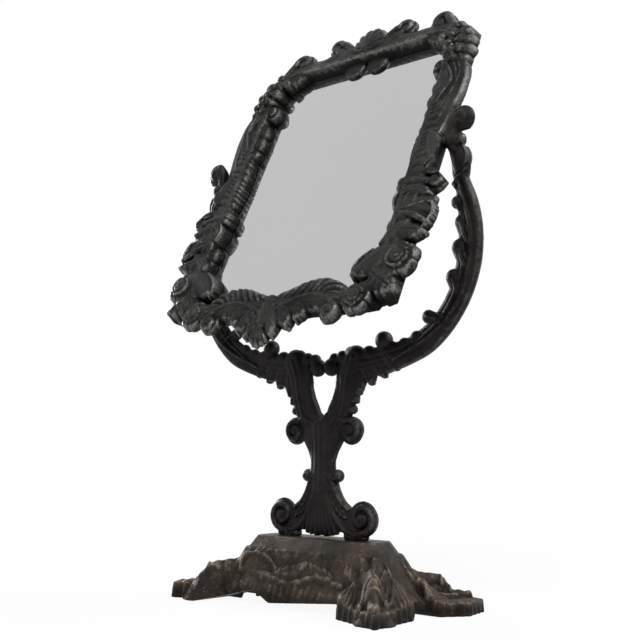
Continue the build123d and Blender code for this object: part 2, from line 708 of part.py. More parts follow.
def make_plate_screws():
    """Round-headed screws through the back plate"""
    screws = []
    head_face = rail_back - back_plate_thickness
    for x, y in plate_screw_spots():
        shank = Pos(x, y, head_face + plate_screw_length / 2) * Cylinder(plate_screw_r, plate_screw_length)
        head = Rot(180, 0, 0) * dome(0, 0, plate_screw_head_r, 0, 0.4, plate_screw_head_height)
        slot = Pos(0, 0, -plate_screw_head_height) * Box(plate_screw_head_r * 3, 0.7, 1.2)
        screws.append(frame_plane.location * (shank + Pos(x, y, head_face) * (head - slot)))
    return screws


# Pivot pieces, made along +X for the right side and turned for the left

def on_pivot(shape, side):
    """Place a piece that was made along +X on one of the two pivots"""
    tilt = Location((0, 0, pivot_height))
    return tilt * Rot(0, 0, 0 if side == 1 else 180) * shape


def ring(inner_r, outer_r, start, length):
    """Flat ring along +X"""
    middle = Pos(start + length / 2, 0, 0) * Rot(0, 90, 0)
    return middle * Cylinder(outer_r, length) - middle * Cylinder(inner_r, length + 2)


def make_pivot_screw():
    """Slotted screw that the mirror turns on"""
    head_start = arm_inner_face() + arm_boss_length + side_gap + head_washer_height
    start = lug_face() - pivot_thread
    shank = Pos((start + head_start) / 2, 0, 0) * Rot(0, 90, 0) * Cylinder(pivot_r, head_start - start)
    head = Pos(head_start, 0, 0) * Rot(0, 90, 0) * dome(0, 0, pivot_head_r, 0, 1.2, pivot_head_height)
    slot = Pos(head_start + pivot_head_height, 0, 0) * Box(2 * slot_depth, slot_width, pivot_head_r * 3)
    return shank + (head - slot)


def make_lock_nut():
    """Thin nut that locks the screw against the frame's lug"""
    prism = extrude(RegularPolygon(lock_nut_flats / 2, 6, major_radius=False), lock_nut_height)
    prism = Pos(lug_face(), 0, 0) * Rot(0, 90, 0) * prism
    return prism - Pos(lug_face(), 0, 0) * Rot(0, 90, 0) * Cylinder(pivot_r + pivot_fit, lock_nut_height * 4)


def make_spring_washer():
    """Dished steel washer that gives the pivot its friction"""
    start = lug_face() + lock_nut_height
    inner = pivot_r + pivot_fit
    rise = spring_washer_height - spring_washer_sheet
    section = Polyline(
        (inner, 0), (spring_washer_r, rise), (spring_washer_r, rise + spring_washer_sheet),
        (inner, spring_washer_sheet), close=True)
    cone = revolve(make_face(Plane.XZ * section), Axis.Z)
    return Pos(start, 0, 0) * Rot(0, 90, 0) * cone


def make_head_washer():
    """Flat washer under the pivot screw's head"""
    start = arm_inner_face() + arm_boss_length + side_gap
    return ring(pivot_r + pivot_fit, head_washer_r, start, head_washer_height)


# Bolts that hold the yoke on the base, from below

def make_stand_bolt(side):
    """Hexagon bolt from inside the base up into the yoke"""
    under = base_height - plate_thickness - bolt_washer_height
    length = base_height + bolt_reach - 0.5 - under
    shank = Pos(0, 0, under + length / 2) * Cylinder(bolt_r, length)
    head = Pos(0, 0, under - bolt_head_height) * extrude(
        RegularPolygon(bolt_head_r - 0.6, 6, major_radius=False), bolt_head_height)
    return Pos(side * seat_x, 0, 0) * (shank + head)


def make_stand_washer(side):
    """Plain washer under the bolt head"""
    under = base_height - plate_thickness - bolt_washer_height
    middle = Pos(side * seat_x, 0, under + bolt_washer_height / 2)
    return middle * Cylinder(bolt_washer_r, bolt_washer_height) - middle * Cylinder(bolt_r + bolt_fit, 4)


save("base_casting", make_base())
save("yoke_casting", make_yoke())
save("mirror_frame", make_frame())
save("mirror_glass", make_glass())
save("packing_card", make_card())
save("glass_wedges", *make_wedges())
save("back_plate", make_back_plate())
save("back_plate_screws", *make_plate_screws())
for side, side_name in ((-1, "left"), (1, "right")):
    save(f"stand_bolt_{side_name}", make_stand_bolt(side))
    save(f"stand_washer_{side_name}", make_stand_washer(side))
    save(f"pivot_screw_{side_name}", on_pivot(make_pivot_screw(), side))
    save(f"pivot_lock_nut_{side_name}", on_pivot(make_lock_nut(), side))
    save(f"pivot_spring_washer_{side_name}", on_pivot(make_spring_washer(), side))
    save(f"pivot_head_washer_{side_name}", on_pivot(make_head_washer(), side))
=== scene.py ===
# %% [markdown]
# A cast iron table mirror. The frame, the yoke and the base are three castings
# covered in scrolls, leaves and flowers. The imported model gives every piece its
# place, and this lesson gives each one its surface: carved relief, iron skin,
# silvered glass and small steel parts.

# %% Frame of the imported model
import math

import bpy
import numpy as np
from mathutils import Matrix, Vector


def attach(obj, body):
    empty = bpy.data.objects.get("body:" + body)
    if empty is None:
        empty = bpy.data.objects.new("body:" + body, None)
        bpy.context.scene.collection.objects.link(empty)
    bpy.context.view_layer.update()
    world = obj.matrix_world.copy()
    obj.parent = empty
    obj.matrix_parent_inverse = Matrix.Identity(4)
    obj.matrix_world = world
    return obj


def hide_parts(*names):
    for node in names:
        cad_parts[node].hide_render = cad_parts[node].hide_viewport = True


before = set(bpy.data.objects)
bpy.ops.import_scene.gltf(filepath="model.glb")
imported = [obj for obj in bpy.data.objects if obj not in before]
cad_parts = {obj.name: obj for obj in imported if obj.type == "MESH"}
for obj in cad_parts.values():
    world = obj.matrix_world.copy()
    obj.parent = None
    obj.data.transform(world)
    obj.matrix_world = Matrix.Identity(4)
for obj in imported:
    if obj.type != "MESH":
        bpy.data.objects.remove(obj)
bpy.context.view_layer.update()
MM = 0.001
print("packed nodes:", len(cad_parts))

# %% [markdown]
# The camera stands low and to the right of the mirror. Its place was worked out
# from pairs of points that lie symmetrically on the object, and is written here
# as angles round a target on the object's axis.

# %% Camera
VIEW_AZIMUTH = 40.0
VIEW_ELEVATION = -7.41
VIEW_ROLL = 0.90
VIEW_DISTANCE = 0.8081
VIEW_TARGET = Vector((0.0, 0.0, 0.2165))
FOCAL_PIXELS = 1016.5
PICTURE_PIXELS = 640.0
CENTRE_PIXEL = 325.6
SENSOR = 36.0

azimuth, elevation = math.radians(VIEW_AZIMUTH), math.radians(VIEW_ELEVATION)
toward_camera = Vector((
    math.sin(azimuth) * math.cos(elevation),
    -math.cos(azimuth) * math.cos(elevation),
    math.sin(elevation),
))
lens = bpy.data.cameras.new("camera")
lens.sensor_width = SENSOR
lens.lens = FOCAL_PIXELS / PICTURE_PIXELS * SENSOR
lens.shift_x = (PICTURE_PIXELS / 2 - CENTRE_PIXEL) / PICTURE_PIXELS
lens.shift_y = (CENTRE_PIXEL - PICTURE_PIXELS / 2) / PICTURE_PIXELS
lens.clip_start = 0.01
camera = bpy.data.objects.new("camera", lens)
bpy.context.scene.collection.objects.link(camera)
camera.location = VIEW_TARGET + toward_camera * VIEW_DISTANCE
look = toward_camera.to_track_quat("Z", "Y").to_matrix().to_4x4()
roll = Matrix.Rotation(math.radians(VIEW_ROLL), 4, "Z")
camera.matrix_world = Matrix.Translation(camera.location) @ look @ roll
bpy.context.scene.camera = camera
print("lens", round(lens.lens, 2), "mm")

# %% [markdown]
# Node trees for colour are easier to read as sums than as boxes and wires. A
# small class wraps a socket, so that 1 - mask or a * b adds the Math node, and
# one method adds any other node.

# %% Writing materials as sums
def socket_name(name):
    """The shader's own name of a socket that is written in small letters here"""
    return name.replace("_", " ").title().replace("Ior", "IOR")


class Wire:
    """An output socket that can stand in a sum"""

    def __init__(self, tree, socket):
        self.tree, self.socket = tree, socket

    def _sum(self, operation, first, second):
        return self.tree.node("ShaderNodeMath", {"operation": operation}, {0: first, 1: second})

    def __add__(self, other):
        return self._sum("ADD", self, other)

    def __sub__(self, other):
        return self._sum("SUBTRACT", self, other)

    def __rsub__(self, other):
        return self._sum("SUBTRACT", other, self)

    def __mul__(self, other):
        return self._sum("MULTIPLY", self, other)

    __radd__ = __add__
    __rmul__ = __mul__

    def within(self, low, high):
        """0 below low, 1 above high, and an even change between them"""
        return self.tree.node("ShaderNodeMapRange", {}, {"Value": self, "From Min": low, "From Max": high})


class Tree:
    """A node tree that is written as sums"""

    def __init__(self, nodes):
        self.tree = nodes

    def node(self, kind, settings, sockets, out=0):
        """Add a node with its settings, then its values or wires"""
        node = self.tree.nodes.new(kind)
        for name, value in settings.items():
            setattr(node, name, value)
        for key, value in sockets.items():
            if isinstance(value, Wire):
                self.tree.links.new(value.socket, node.inputs[key])
            else:
                node.inputs[key].default_value = value
        return Wire(self, node.outputs[out])

    def link(self, wire, node, socket):
        """Link a wire to a socket of a node that the tree already has"""
        self.tree.links.new(wire.socket, self.tree.nodes[node].inputs[socket])


class Finish(Tree):
    """One material: a Principled shader and what feeds it"""

    def __init__(self, name, **constants):
        self.material = bpy.data.materials.new(name)
        self.material.use_nodes = True
        super().__init__(self.material.node_tree)
        self.shader = self.tree.nodes["Principled BSDF"]
        for socket, value in constants.items():
            self.shader.inputs[socket_name(socket)].default_value = value
        self.place = self.node("ShaderNodeTexCoord", {}, {}, "Object")

    def noise(self, size, detail=3.0, roughness=0.55):
        """Cloudy pattern whose clouds are about that many millimetres across"""
        sockets = {"Vector": self.place, "Scale": 1 / (size * MM), "Detail": detail, "Roughness": roughness}
        return self.node("ShaderNodeTexNoise", {}, sockets)

    def mix(self, share, first, second):
        """From one colour to another"""
        colours = {0: share}
        for index, colour in ((6, first), (7, second)):
            colours[index] = colour if isinstance(colour, Wire) else (*colour, 1.0)
        return self.node("ShaderNodeMix", {"data_type": "RGBA"}, colours, 2)

    def feed(self, **sockets):
        """Link wires to the shader's own sockets"""
        for socket, wire in sockets.items():
            self.tree.links.new(wire.socket, self.shader.inputs[socket_name(socket)])

    def bump(self, height, depth):
        """Small relief, its depth in millimetres"""
        sockets = {"Height": height, "Distance": depth * MM, "Strength": 1.0}
        self.feed(normal=self.node("ShaderNodeBump", {}, sockets))


# %% [markdown]
# On this old cast iron the colour is painted darker in the hollows, as shade,
# and paler on the ridges, partly where hands and cloths have worn the black
# finish thin and partly as painted highlight. Both come from the shape, so each
# casting carries two numbers per vertex: ridge and hollow. The colour follows
# them, broken up by noise so that no edge is worn evenly.

# %% Iron finishes
def cast_iron(name, dark, middle, worn, dust, wear_and_highlight, dusty, shine):
    """Blackened cast iron: dark, middle, worn and dusty colours and how much of each; hollows get painted
    shade, and ridges get the worn colour, partly worn iron and partly painted highlight
    """
    finish = Finish(name, specular_ior_level=0.12, metallic=0.55)
    ridge = finish.node("ShaderNodeAttribute", {"attribute_name": "ridge"}, {}, "Fac")
    hollow = finish.node("ShaderNodeAttribute", {"attribute_name": "hollow"}, {}, "Fac")
    clouds = finish.noise(28.0, 4.0)
    patches = finish.noise(7.0, 5.0, 0.65)
    grains = finish.noise(1.1, 4.0, 0.7)
    coat = finish.mix(clouds.within(0.35, 0.68), dark, middle)
    # painted shade: in hollows, on steep sides and on undersides the colour falls to 0.4 of the dark tone
    coat = finish.mix(hollow.within(0.0, 1.0), coat, tuple(0.4 * part for part in dark))
    crust = finish.noise(2.6, 5.0, 0.75)
    uneven = (patches - 0.5) * 1.4 + (crust - 0.5) * 2.2 + (grains - 0.5) * 0.8
    # paler ridges: partly worn iron, partly a painted highlight
    rubbed_and_highlit = (ridge + uneven).within(0.45, 1.25) * wear_and_highlight
    coat = finish.mix(rubbed_and_highlit, coat, worn)
    coat = finish.mix(grains.within(0.50, 0.75) * (1 - hollow) * 0.35, coat, dust)
    sheltered = patches.within(0.5, 0.75) + hollow * 0.4
    settled = (sheltered * grains.within(0.3, 0.75)).within(0.15, 1.1) * dusty
    finish.feed(base_color=finish.mix(settled, coat, dust))
    finish.feed(roughness=shine + settled * 0.25 - rubbed_and_highlit * 0.10 + (grains - 0.5) * 0.25)
    pits = finish.noise(0.9, 2.0, 0.6)
    finish.bump(grains * 0.6 + pits.within(0.2, 0.5) * 0.5 + patches * 0.6 + crust * 1.2, 0.30)
    return finish.material


frame_iron = cast_iron(
    "frame_iron", (0.0075, 0.0074, 0.0073), (0.031, 0.0305, 0.029), (0.22, 0.217, 0.205),
    (0.075, 0.066, 0.056), wear_and_highlight=0.85, dusty=0.25, shine=0.36)
yoke_iron = cast_iron(
    "yoke_iron", (0.0055, 0.0049, 0.0047), (0.0215, 0.0190, 0.0182), (0.110, 0.101, 0.095),
    (0.043, 0.037, 0.034), wear_and_highlight=0.65, dusty=0.2, shine=0.40)
base_iron = cast_iron(
    "base_iron", (0.013, 0.0103, 0.0086), (0.057, 0.0435, 0.034), (0.245, 0.200, 0.152),
    (0.135, 0.106, 0.082), wear_and_highlight=0.60, dusty=0.50, shine=0.48)

# %% [markdown]
# Hundreds of small forms make up the ornament, and modelling each as its own
# mesh would leave hard lines where they meet. A founder's pattern is carved in
# low relief and has no undercuts, so that it can be drawn out of the sand. The
# castings are made the same way: a height is worked out for every spot of a flat
# drawing, forms are laid over each other and run together softly, and the
# drawing is then turned into a closed skin.

# %% Height drawing
DRAFT = 5.0      # the sides of each form fall this steeply
GROUND = -60.0   # height where there is no iron


def soft_max(first, second, soft):
    """The higher of two, with a rounded join"""
    blend = np.clip(0.5 + 0.5 * (first - second) / soft, 0.0, 1.0)
    return second + (first - second) * blend + soft * blend * (1.0 - blend)


def flowing(points, runs=7):
    """Smooth path through a few points"""
    p = np.array(points, float)
    p = np.vstack([2 * p[0] - p[1], p, 2 * p[-1] - p[-2]])
    path = []
    for a, b, c, d in zip(p, p[1:], p[2:], p[3:]):
        for t in np.arange(runs) / runs:
            bend = (2 * a - 5 * b + 4 * c - d) * t * t + (3 * b - a - 3 * c + d) * t ** 3
            path.append(0.5 * (2 * b + (c - a) * t + bend))
    return np.array(path + [p[-2]])


def curl(x, y, r, start, turns, inner=0.28):
    """Path that winds inwards; positive turns run anticlockwise"""
    share = np.linspace(0.0, 1.0, int(abs(turns) * 18) + 2)
    angle = math.radians(start) + 2 * math.pi * turns * share
    radius = r * (1.0 - (1.0 - inner) * share)
    return np.column_stack([x + radius * np.cos(angle), y + radius * np.sin(angle)])


def between(ends, share):
    """A single value, or an even change from the first to the last"""
    return ends if np.isscalar(ends) else np.interp(share, np.linspace(0, 1, len(ends)), ends)


class Pattern:
    """Height over a flat drawing in millimetres, with x across and y up"""

    def __init__(self, half_width, low, high, step):
        count = int(round(half_width / step))
        self.step = step
        self.x = np.arange(-count, count + 1) * step
        self.y = np.arange(low, high + step, step)
        self.top = np.full((len(self.x), len(self.y)), GROUND)

    def near(self, points, reach):
        """The part of the drawing round some points, with its coordinates"""
        points = np.atleast_2d(points)
        i = np.searchsorted(self.x, [points[:, 0].min() - reach, points[:, 0].max() + reach])
        j = np.searchsorted(self.y, [points[:, 1].min() - reach, points[:, 1].max() + reach])
        part = (slice(*i), slice(*j))
        return part, self.x[part[0], None], self.y[None, part[1]]

    def lay(self, part, height, soft=0.8):
        """Lay a form over what is there"""
        self.top[part] = soft_max(self.top[part], height, soft)

    def along(self, path, reach):
        """For each spot near a path: distance, share of its length and signed distance"""
        part, x, y = self.near(path, reach)
        runs = np.hypot(*np.diff(path, axis=0).T)
        starts = np.concatenate([[0.0], np.cumsum(runs)])
        shape = (x.shape[0], y.shape[1])
        distance, share, side = np.full(shape, 1e9), np.zeros(shape), np.ones(shape)
        for (ax, ay), (bx, by), run, start in zip(path, path[1:], runs, starts):
            dx, dy = (bx - ax) / run, (by - ay) / run
            t = np.clip((x - ax) * dx + (y - ay) * dy, 0.0, run)
            off_x, off_y = x - ax - t * dx, y - ay - t * dy
            gap = np.hypot(off_x, off_y)
            closer = gap < distance
            distance = np.where(closer, gap, distance)
            share = np.where(closer, (start + t) / starts[-1], share)
            side = np.where(closer, np.sign(dx * off_y - dy * off_x), side)
        return part, distance, share, distance * side

    def bar(self, path, r, z, rise=1.0, soft=0.8, grooves=(), depth=0.9):
        """Round bar along a path, with grooves that run beside its middle"""
        path = np.asarray(path, float)
        part, distance, share, signed = self.along(path, np.max(r) + 3)
        radius = between(r, share)
        crown = np.sqrt(np.maximum(radius ** 2 - distance ** 2, 0.0)) * rise
        height = between(z, share) + crown - np.maximum(distance - radius, 0.0) * DRAFT
        for place in grooves:
            height = height - depth * np.exp(-((signed / radius - place) / 0.14) ** 2)
        self.lay(part, height, soft)

    def ribbon(self, points, *sizes, **manner):
        """Bar along a smooth path through a few points"""
        self.bar(flowing(points), *sizes, **manner)

    def boss(self, x, y, r, z, rise, soft=0.8):
        """Round knob"""
        part, px, py = self.near((x, y), r + 3)
        distance = np.hypot(px - x, py - y)
        crown = np.sqrt(np.maximum(1.0 - (distance / r) ** 2, 0.0)) * rise
        self.lay(part, z + crown - np.maximum(distance - r, 0.0) * DRAFT, soft)

    def scroll(self, stem, x, y, r, start, turns, z, thick=(2.4, 1.5), eye=0.30):
        """Stem that ends in a curl with a raised eye"""
        self.boss(x, y, r * 0.98, z - 2.0, 1.2)
        wound = curl(x, y, r - thick[0] * 0.8, start, turns)
        path = np.vstack([flowing(stem), wound])
        self.bar(path, (thick[0] * 0.9, thick[0], thick[1]), z - 0.6, soft=0.3)
        self.boss(x, y, r * eye, z, 1.6, soft=0.3)

    def leaf(self, path, half_width, z, rise, lobes=5, ragged=0.22, veins=0.9, soft=0.7, tip=0.7):
        """Leaf along a middle line, with a lobed edge, a middle vein and swept side veins"""
        path = flowing(path)
        part, distance, share, _ = self.along(path, half_width + 3)
        swell = np.sin(np.pi * np.clip(share, 0.02, 0.985) ** tip) ** 0.5
        sweep = lobes * share - 0.35 * distance / half_width
        edge = 1.0 - ragged * (1.0 - np.abs(np.cos(np.pi * sweep))) * (distance > 0.2 * half_width)
        width = half_width * swell * edge + 0.2
        q = distance / width
        height = between(z, share) + rise * np.sqrt(np.maximum(1.0 - q ** 2, 0.0))
        inside = np.clip(q, 0.0, 1.0)
        height -= veins * (1.0 - np.abs(np.cos(np.pi * sweep)) ** 0.6) * np.clip(2.2 * inside, 0.0, 1.0)
        height -= veins * np.exp(-(distance / 0.7) ** 2) * (share < 0.93)
        self.lay(part, height - np.maximum(distance - width, 0.0) * DRAFT, soft)

    def rose(self, x, y, r, z, rise, petals=5, turn=0.0, wind=1.6):
        """Open rose: two rings of cupped petals round a wound heart"""
        part, px, py = self.near((x, y), r + 3)
        rho, theta = np.hypot(px - x, py - y), np.arctan2(py - y, px - x)
        for share, lift, half_turn in ((1.0, 0.0, 0.0), (0.68, 0.35, 0.5)):
            notch = np.abs(np.cos(petals * (theta - turn) / 2 + math.pi * half_turn))
            reach = r * share * (0.86 + 0.14 * notch ** 0.5)
            q = rho / reach
            height = z + rise * (0.5 + lift) + 1.3 * np.clip(q, 0, 1) ** 3 - 9.0 * np.clip(q - 0.86, 0, 1)
            height -= 1.0 * np.exp(-(notch / 0.2) ** 2) * np.clip(2.5 * q - 0.8, 0, 1) + 0.9
            self.lay(part, height - np.maximum(rho - reach, 0.0) * DRAFT, 0.4)
        heart = 0.40 * r
        fold = np.abs(np.sin(np.pi * (wind * rho / heart - (theta - turn) / (2 * np.pi))))
        height = z + rise * (1.0 + 0.12 * (1 - (rho / heart) ** 2)) + 0.7 * fold ** 0.7 - 0.7
        self.lay(part, height - np.maximum(rho - heart, 0.0) * DRAFT, 0.3)

    def shell(self, x, y, turn, spread, reach, z, rise, ribs, droop=1.5, depth=1.2):
        """Fan of ribs with a scalloped rim; reach is given from its clockwise side to the other"""
        part, px, py = self.near((x, y), np.max(reach) + 3)
        rho = np.hypot(px - x, py - y)
        theta = np.angle(np.exp(1j * (np.arctan2(py - y, px - x) - math.radians(turn))))
        across = theta / math.radians(spread) + 0.5
        rib = np.abs(np.sin(np.pi * ribs * across)) ** 0.6
        length = between(reach, np.clip(across, 0, 1)) * (0.91 + 0.09 * rib)
        q = np.clip(rho / length, 0, 1)
        height = z + rise * np.sqrt(np.maximum(1 - (2 * q - 1.0).clip(0, 1) ** 2, 0)) - droop * q
        height -= depth * (0.2 + 0.8 * q) * (1.0 - rib)
        past = (np.abs(across - 0.5) - 0.5).clip(0, 1) * math.radians(spread) * rho
        outside = np.maximum(rho - length, 0.0) + past
        self.lay(part, height - outside * DRAFT, 0.5)

    def gadroons(self, path, half_width, z, rise, count, slant=0.8, depth=1.1, soft=0.6, wander=0.0):
        """Band of slanted flutes across a path"""
        path = flowing(path)
        part, distance, share, signed = self.along(path, np.max(half_width) + 3)
        width = between(half_width, share)
        q = signed / width
        turn = count * share + slant * q + wander * np.sin(11.0 * share + 1.3 * q)
        flute = np.abs(np.cos(np.pi * turn)) ** 0.6
        width = width * (0.94 + 0.06 * flute)
        crown = np.sqrt(np.maximum(1.0 - (distance / width) ** 2, 0.0))
        height = between(z, share) + rise * crown - depth * (1.0 - flute)
        self.lay(part, height - np.maximum(distance - width, 0.0) * DRAFT, soft)

    def both_sides(self):
        """Mirror the right half to the left"""
        self.top = soft_max(self.top, self.top[::-1], 0.4)

    def sampled(self, grid, points):
        """Values of a grid on this drawing at some places"""
        i = np.clip((points[:, 0] - self.x[0]) / self.step, 0, len(self.x) - 1.001)
        j = np.clip((points[:, 1] - self.y[0]) / self.step, 0, len(self.y) - 1.001)
        i0, j0 = i.astype(int), j.astype(int)
        fi, fj = i - i0, j - j0
        low = grid[i0, j0] * (1 - fj) + grid[i0, j0 + 1] * fj
        high = grid[i0 + 1, j0] * (1 - fj) + grid[i0 + 1, j0 + 1] * fj
        return low * (1 - fi) + high * fi


# %% [markdown]
# The skin is found where the height passes each level. A block of cells is laid
# over the casting, every cell that the surface passes through gets one vertex at
# the mean of its edge crossings, and each crossed edge joins the four cells
# round it with a quad. Built this way the skin is closed and even.

# %% Skin round a block of cells
def skin(field, origin, step):
    """Vertices and quads of the surface where a field passes from positive to negative"""
    inside = field > 0
    span = tuple(n - 1 for n in field.shape)

    def corner(values, i, j, k):
        return values[i:i + span[0], j:j + span[1], k:k + span[2]]

    corners = [(i, j, k) for i in (0, 1) for j in (0, 1) for k in (0, 1)]
    count = sum(corner(inside, *c).astype(np.int8) for c in corners)
    cells = np.nonzero((count > 0) & (count < 8))
    index = np.full(span, -1, np.int32)
    index[cells] = np.arange(len(cells[0]))
    total = np.zeros((len(cells[0]), 3))
    crossings = np.zeros(len(cells[0]))
    quads = []
    for axis in range(3):
        step_on = np.eye(3, dtype=int)[axis]
        for c in corners:
            if c[axis]:
                continue
            a = corner(field, *c)[cells]
            b = corner(field, *(np.array(c) + step_on))[cells]
            crossed = (a > 0) != (b > 0)
            share = np.where(crossed, a / np.where(crossed, a - b, 1.0), 0.0)
            spot = np.tile(np.array(c, float), (len(a), 1))
            spot[:, axis] += share
            total += spot * crossed[:, None]
            crossings += crossed
        one, two = (axis + 1) % 3, (axis + 2) % 3
        here = [slice(1, -1)] * 3
        here[axis] = slice(0, -1)
        there = list(here)
        there[axis] = slice(1, None)
        leaving = inside[tuple(here)] & ~inside[tuple(there)]
        entering = ~inside[tuple(here)] & inside[tuple(there)]
        for changed, order in ((leaving, 1), (entering, -1)):
            edge = np.array(np.nonzero(changed)).T
            edge[:, one] += 1
            edge[:, two] += 1
            back_one, back_two = np.eye(3, dtype=int)[one], np.eye(3, dtype=int)[two]
            ring = [edge - back_one - back_two, edge - back_two, edge, edge - back_one][::order]
            quads.append(np.column_stack([index[tuple(cell.T)] for cell in ring]))
    vertices = origin + (np.array(cells).T + total / crossings[:, None]) * step
    return vertices, np.vstack(quads)


def softened(grid, reach):
    """A grid averaged over a square of cells, three times over"""
    for _ in range(3):
        for axis in (0, 1):
            margins = [(reach + 1, reach) if a == axis else (0, 0) for a in (0, 1)]
            padded = np.pad(grid, margins, mode="edge")
            running = np.cumsum(padded, axis=axis)
            size = 2 * reach + 1
            ahead = np.take(running, range(size, running.shape[axis]), axis=axis)
            behind = np.take(running, range(0, running.shape[axis] - size), axis=axis)
            grid = (ahead - behind) / size
    return grid


def blurred(grid, iron_here, cells):
    """A grid averaged over its iron alone, so that the empty ground round it doesn't count"""
    reach = max(1, int(round(cells)))
    return softened(grid * iron_here, reach) / np.maximum(softened(iron_here, reach), 0.05)


def stacked(grid):
    """A grid of the drawing, the same at every level of a block of cells"""
    return grid[:, :, None]


print("height drawing ready")

# %% [markdown]
# Each casting starts as a block of cells between its back and its height. The
# skin has more triangles than flat stretches need, so a Decimate modifier thins
# it there and keeps the relief. The ridge and hollow numbers compare the height
# with the same drawing blurred: what stands above its surroundings is a ridge.
# Steep sides count as hollow: hands don't reach them to rub them pale, and the
# iron's colour paints shade on them.

# %% From a drawing to a casting
STEP = 0.62      # cell size in millimetres
RELIEF_REACHES = 0.9, 2.6               # millimetres over which fine and broad relief are compared
FULL_RIDGE, FULL_HOLLOW = (0.55, 2.4), (0.8, 2.6)    # relief, fine and broad, that counts in full


def cast(name, pattern, field, base_level, place, body, iron, node, triangles):
    """Make the casting, thin it, number its ridges and put it where the CAD has it"""
    origin = np.array([pattern.x[0], pattern.y[0], base_level])
    points, quads = skin(field, origin, pattern.step)
    mesh = bpy.data.meshes.new(name)
    mesh.vertices.add(len(points))
    mesh.vertices.foreach_set("co", points.astype(np.float32).ravel())
    mesh.loops.add(4 * len(quads))
    mesh.loops.foreach_set("vertex_index", quads.astype(np.int32).ravel())
    mesh.polygons.add(len(quads))
    mesh.polygons.foreach_set("loop_start", np.arange(0, 4 * len(quads), 4, dtype=np.int32))
    mesh.update(calc_edges=True)
    piece = bpy.data.objects.new(name, mesh)
    bpy.context.scene.collection.objects.link(piece)
    thin = piece.modifiers.new("thin", "DECIMATE")
    thin.ratio = min(1.0, triangles / (2 * len(quads)))
    piece.data = bpy.data.meshes.new_from_object(piece.evaluated_get(bpy.context.evaluated_depsgraph_get()))
    piece.modifiers.remove(thin)
    mesh = piece.data
    mesh.name = name
    points = np.empty(len(mesh.vertices) * 3)
    mesh.vertices.foreach_get("co", points)
    points = points.reshape(-1, 3)
    iron_here = (pattern.top > base_level).astype(float)
    surface = np.where(pattern.top > base_level, pattern.top, 0.0)
    reaches = [reach / pattern.step for reach in RELIEF_REACHES]
    fine, broad = (iron_here * (surface - blurred(surface, iron_here, cells)) for cells in reaches)
    ridge = np.clip(fine / FULL_RIDGE[0], 0, 1) * 0.6 + np.clip(broad / FULL_RIDGE[1], 0, 1) * 0.4
    hollow = np.clip(-fine / FULL_HOLLOW[0], 0, 1) * 0.5 + np.clip(-broad / FULL_HOLLOW[1], 0, 1) * 0.5
    drop = pattern.sampled(surface, points) - np.abs(points[:, 2])
    side = np.clip((drop - 1.0) / 3.0, 0, 1)        # 1 where a spot lies well below the drawing
    ridge = pattern.sampled(ridge, points) * (1 - side)
    # steep sides and undersides join the hollows, where the iron's colour carries painted shade
    hollow = np.maximum(pattern.sampled(hollow, points), side)
    for label, values in (("ridge", ridge), ("hollow", hollow)):
        numbers = mesh.attributes.new(label, "FLOAT", "POINT")
        numbers.data.foreach_set("value", values.astype(np.float32))
    mesh.transform(Matrix.Scale(MM, 4))
    mesh.transform(place)
    mesh.polygons.foreach_set("use_smooth", np.ones(len(mesh.polygons), bool))
    mesh.materials.append(iron)
    mesh.update()
    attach(piece, body)
    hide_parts(node)
    print(name, len(quads) * 2, "triangles thinned to", len(mesh.polygons))


# %% [markdown]
# The frame leans back on its pivots. Its drawing lies in the leaning plane: x is
# across, y is up the frame from the pivot axis, and the height is towards the
# viewer. Right and left are alike, so only the right half is drawn.

# %% Frame: sizes and its plane
FRAME_LEAN = math.radians(25.75)
PIVOT_HEIGHT = 345.0
SIGHT_SIDE, SIGHT_TOP, SIGHT_LOW = 92.5, 117.0, -124.0
RAIL_BACK, GLASS_FRONT, POCKET = -7.0, -2.0, 5.0

lean = Matrix((
    (1, 0, 0, 0),
    (0, math.sin(FRAME_LEAN), -math.cos(FRAME_LEAN), 0),
    (0, math.cos(FRAME_LEAN), math.sin(FRAME_LEAN), PIVOT_HEIGHT * MM),
    (0, 0, 0, 1),
))
carving = Pattern(136.0, -180.0, 160.0, STEP)

# %% Frame: rail, its inner bead and the lobes that reach over the glass
rail = [(0, 125), (70, 125), (86, 122), (97, 112), (101, 98), (101, 40), (101, -30), (101, -105),
        (97, -120), (86, -131), (70, -135), (40, -136), (0, -135)]
rail_grooves = (-0.62, -0.3, 0.05, 0.38)
carving.bar(flowing(rail, 4), (8.0, 8.6, 8.6), -1.4, rise=0.95, grooves=rail_grooves, depth=0.7)
bead = [(0, 119.8), (68, 119.8), (82, 118), (91.5, 111), (95, 100), (95, 40), (95, -40), (95, -106),
        (92, -116)]
carving.bar(flowing(bead, 4), 2.7, 5.0, soft=0.5)
for rise, r in ((57.5, 8.2), (43.5, 8.8), (30.5, 7.2), (-56.0, 7.6), (-76.0, 8.0), (-87.5, 6.8)):
    carving.boss(94.5, rise, r, 0.6, 4.6, soft=0.6)
carving.boss(12.0, 114.5, 11.0, -2.2, 3.0, soft=1.2)

# %% Frame: shell and rolls of the crest
carving.shell(0, 126.5, 90, 170, (16, 20, 24.5, 27, 24.5, 20, 16), 3.6, 5.2, ribs=8, depth=1.6)
carving.ribbon([(-16, 129), (0, 123.5), (16, 129)], (2.2, 3.2, 2.2), 5.2, soft=0.4)
carving.boss(0, 126, 4.6, 5.0, 4.4, soft=0.4)
carving.leaf([(12, 124), (25, 129), (37, 138)], 8.5, 2.4, 4.2, lobes=3, ragged=0.06, veins=0.5)
carving.scroll([(15, 127), (20, 135), (27, 141.5)], 37.5, 141, 9.2, 165, -1.0, 4.2, (3.6, 2.2))
carving.leaf([(58, 122), (46, 124.5), (30, 132)], 6.0, 3.0, 3.6, lobes=2, ragged=0.04, veins=0.4)

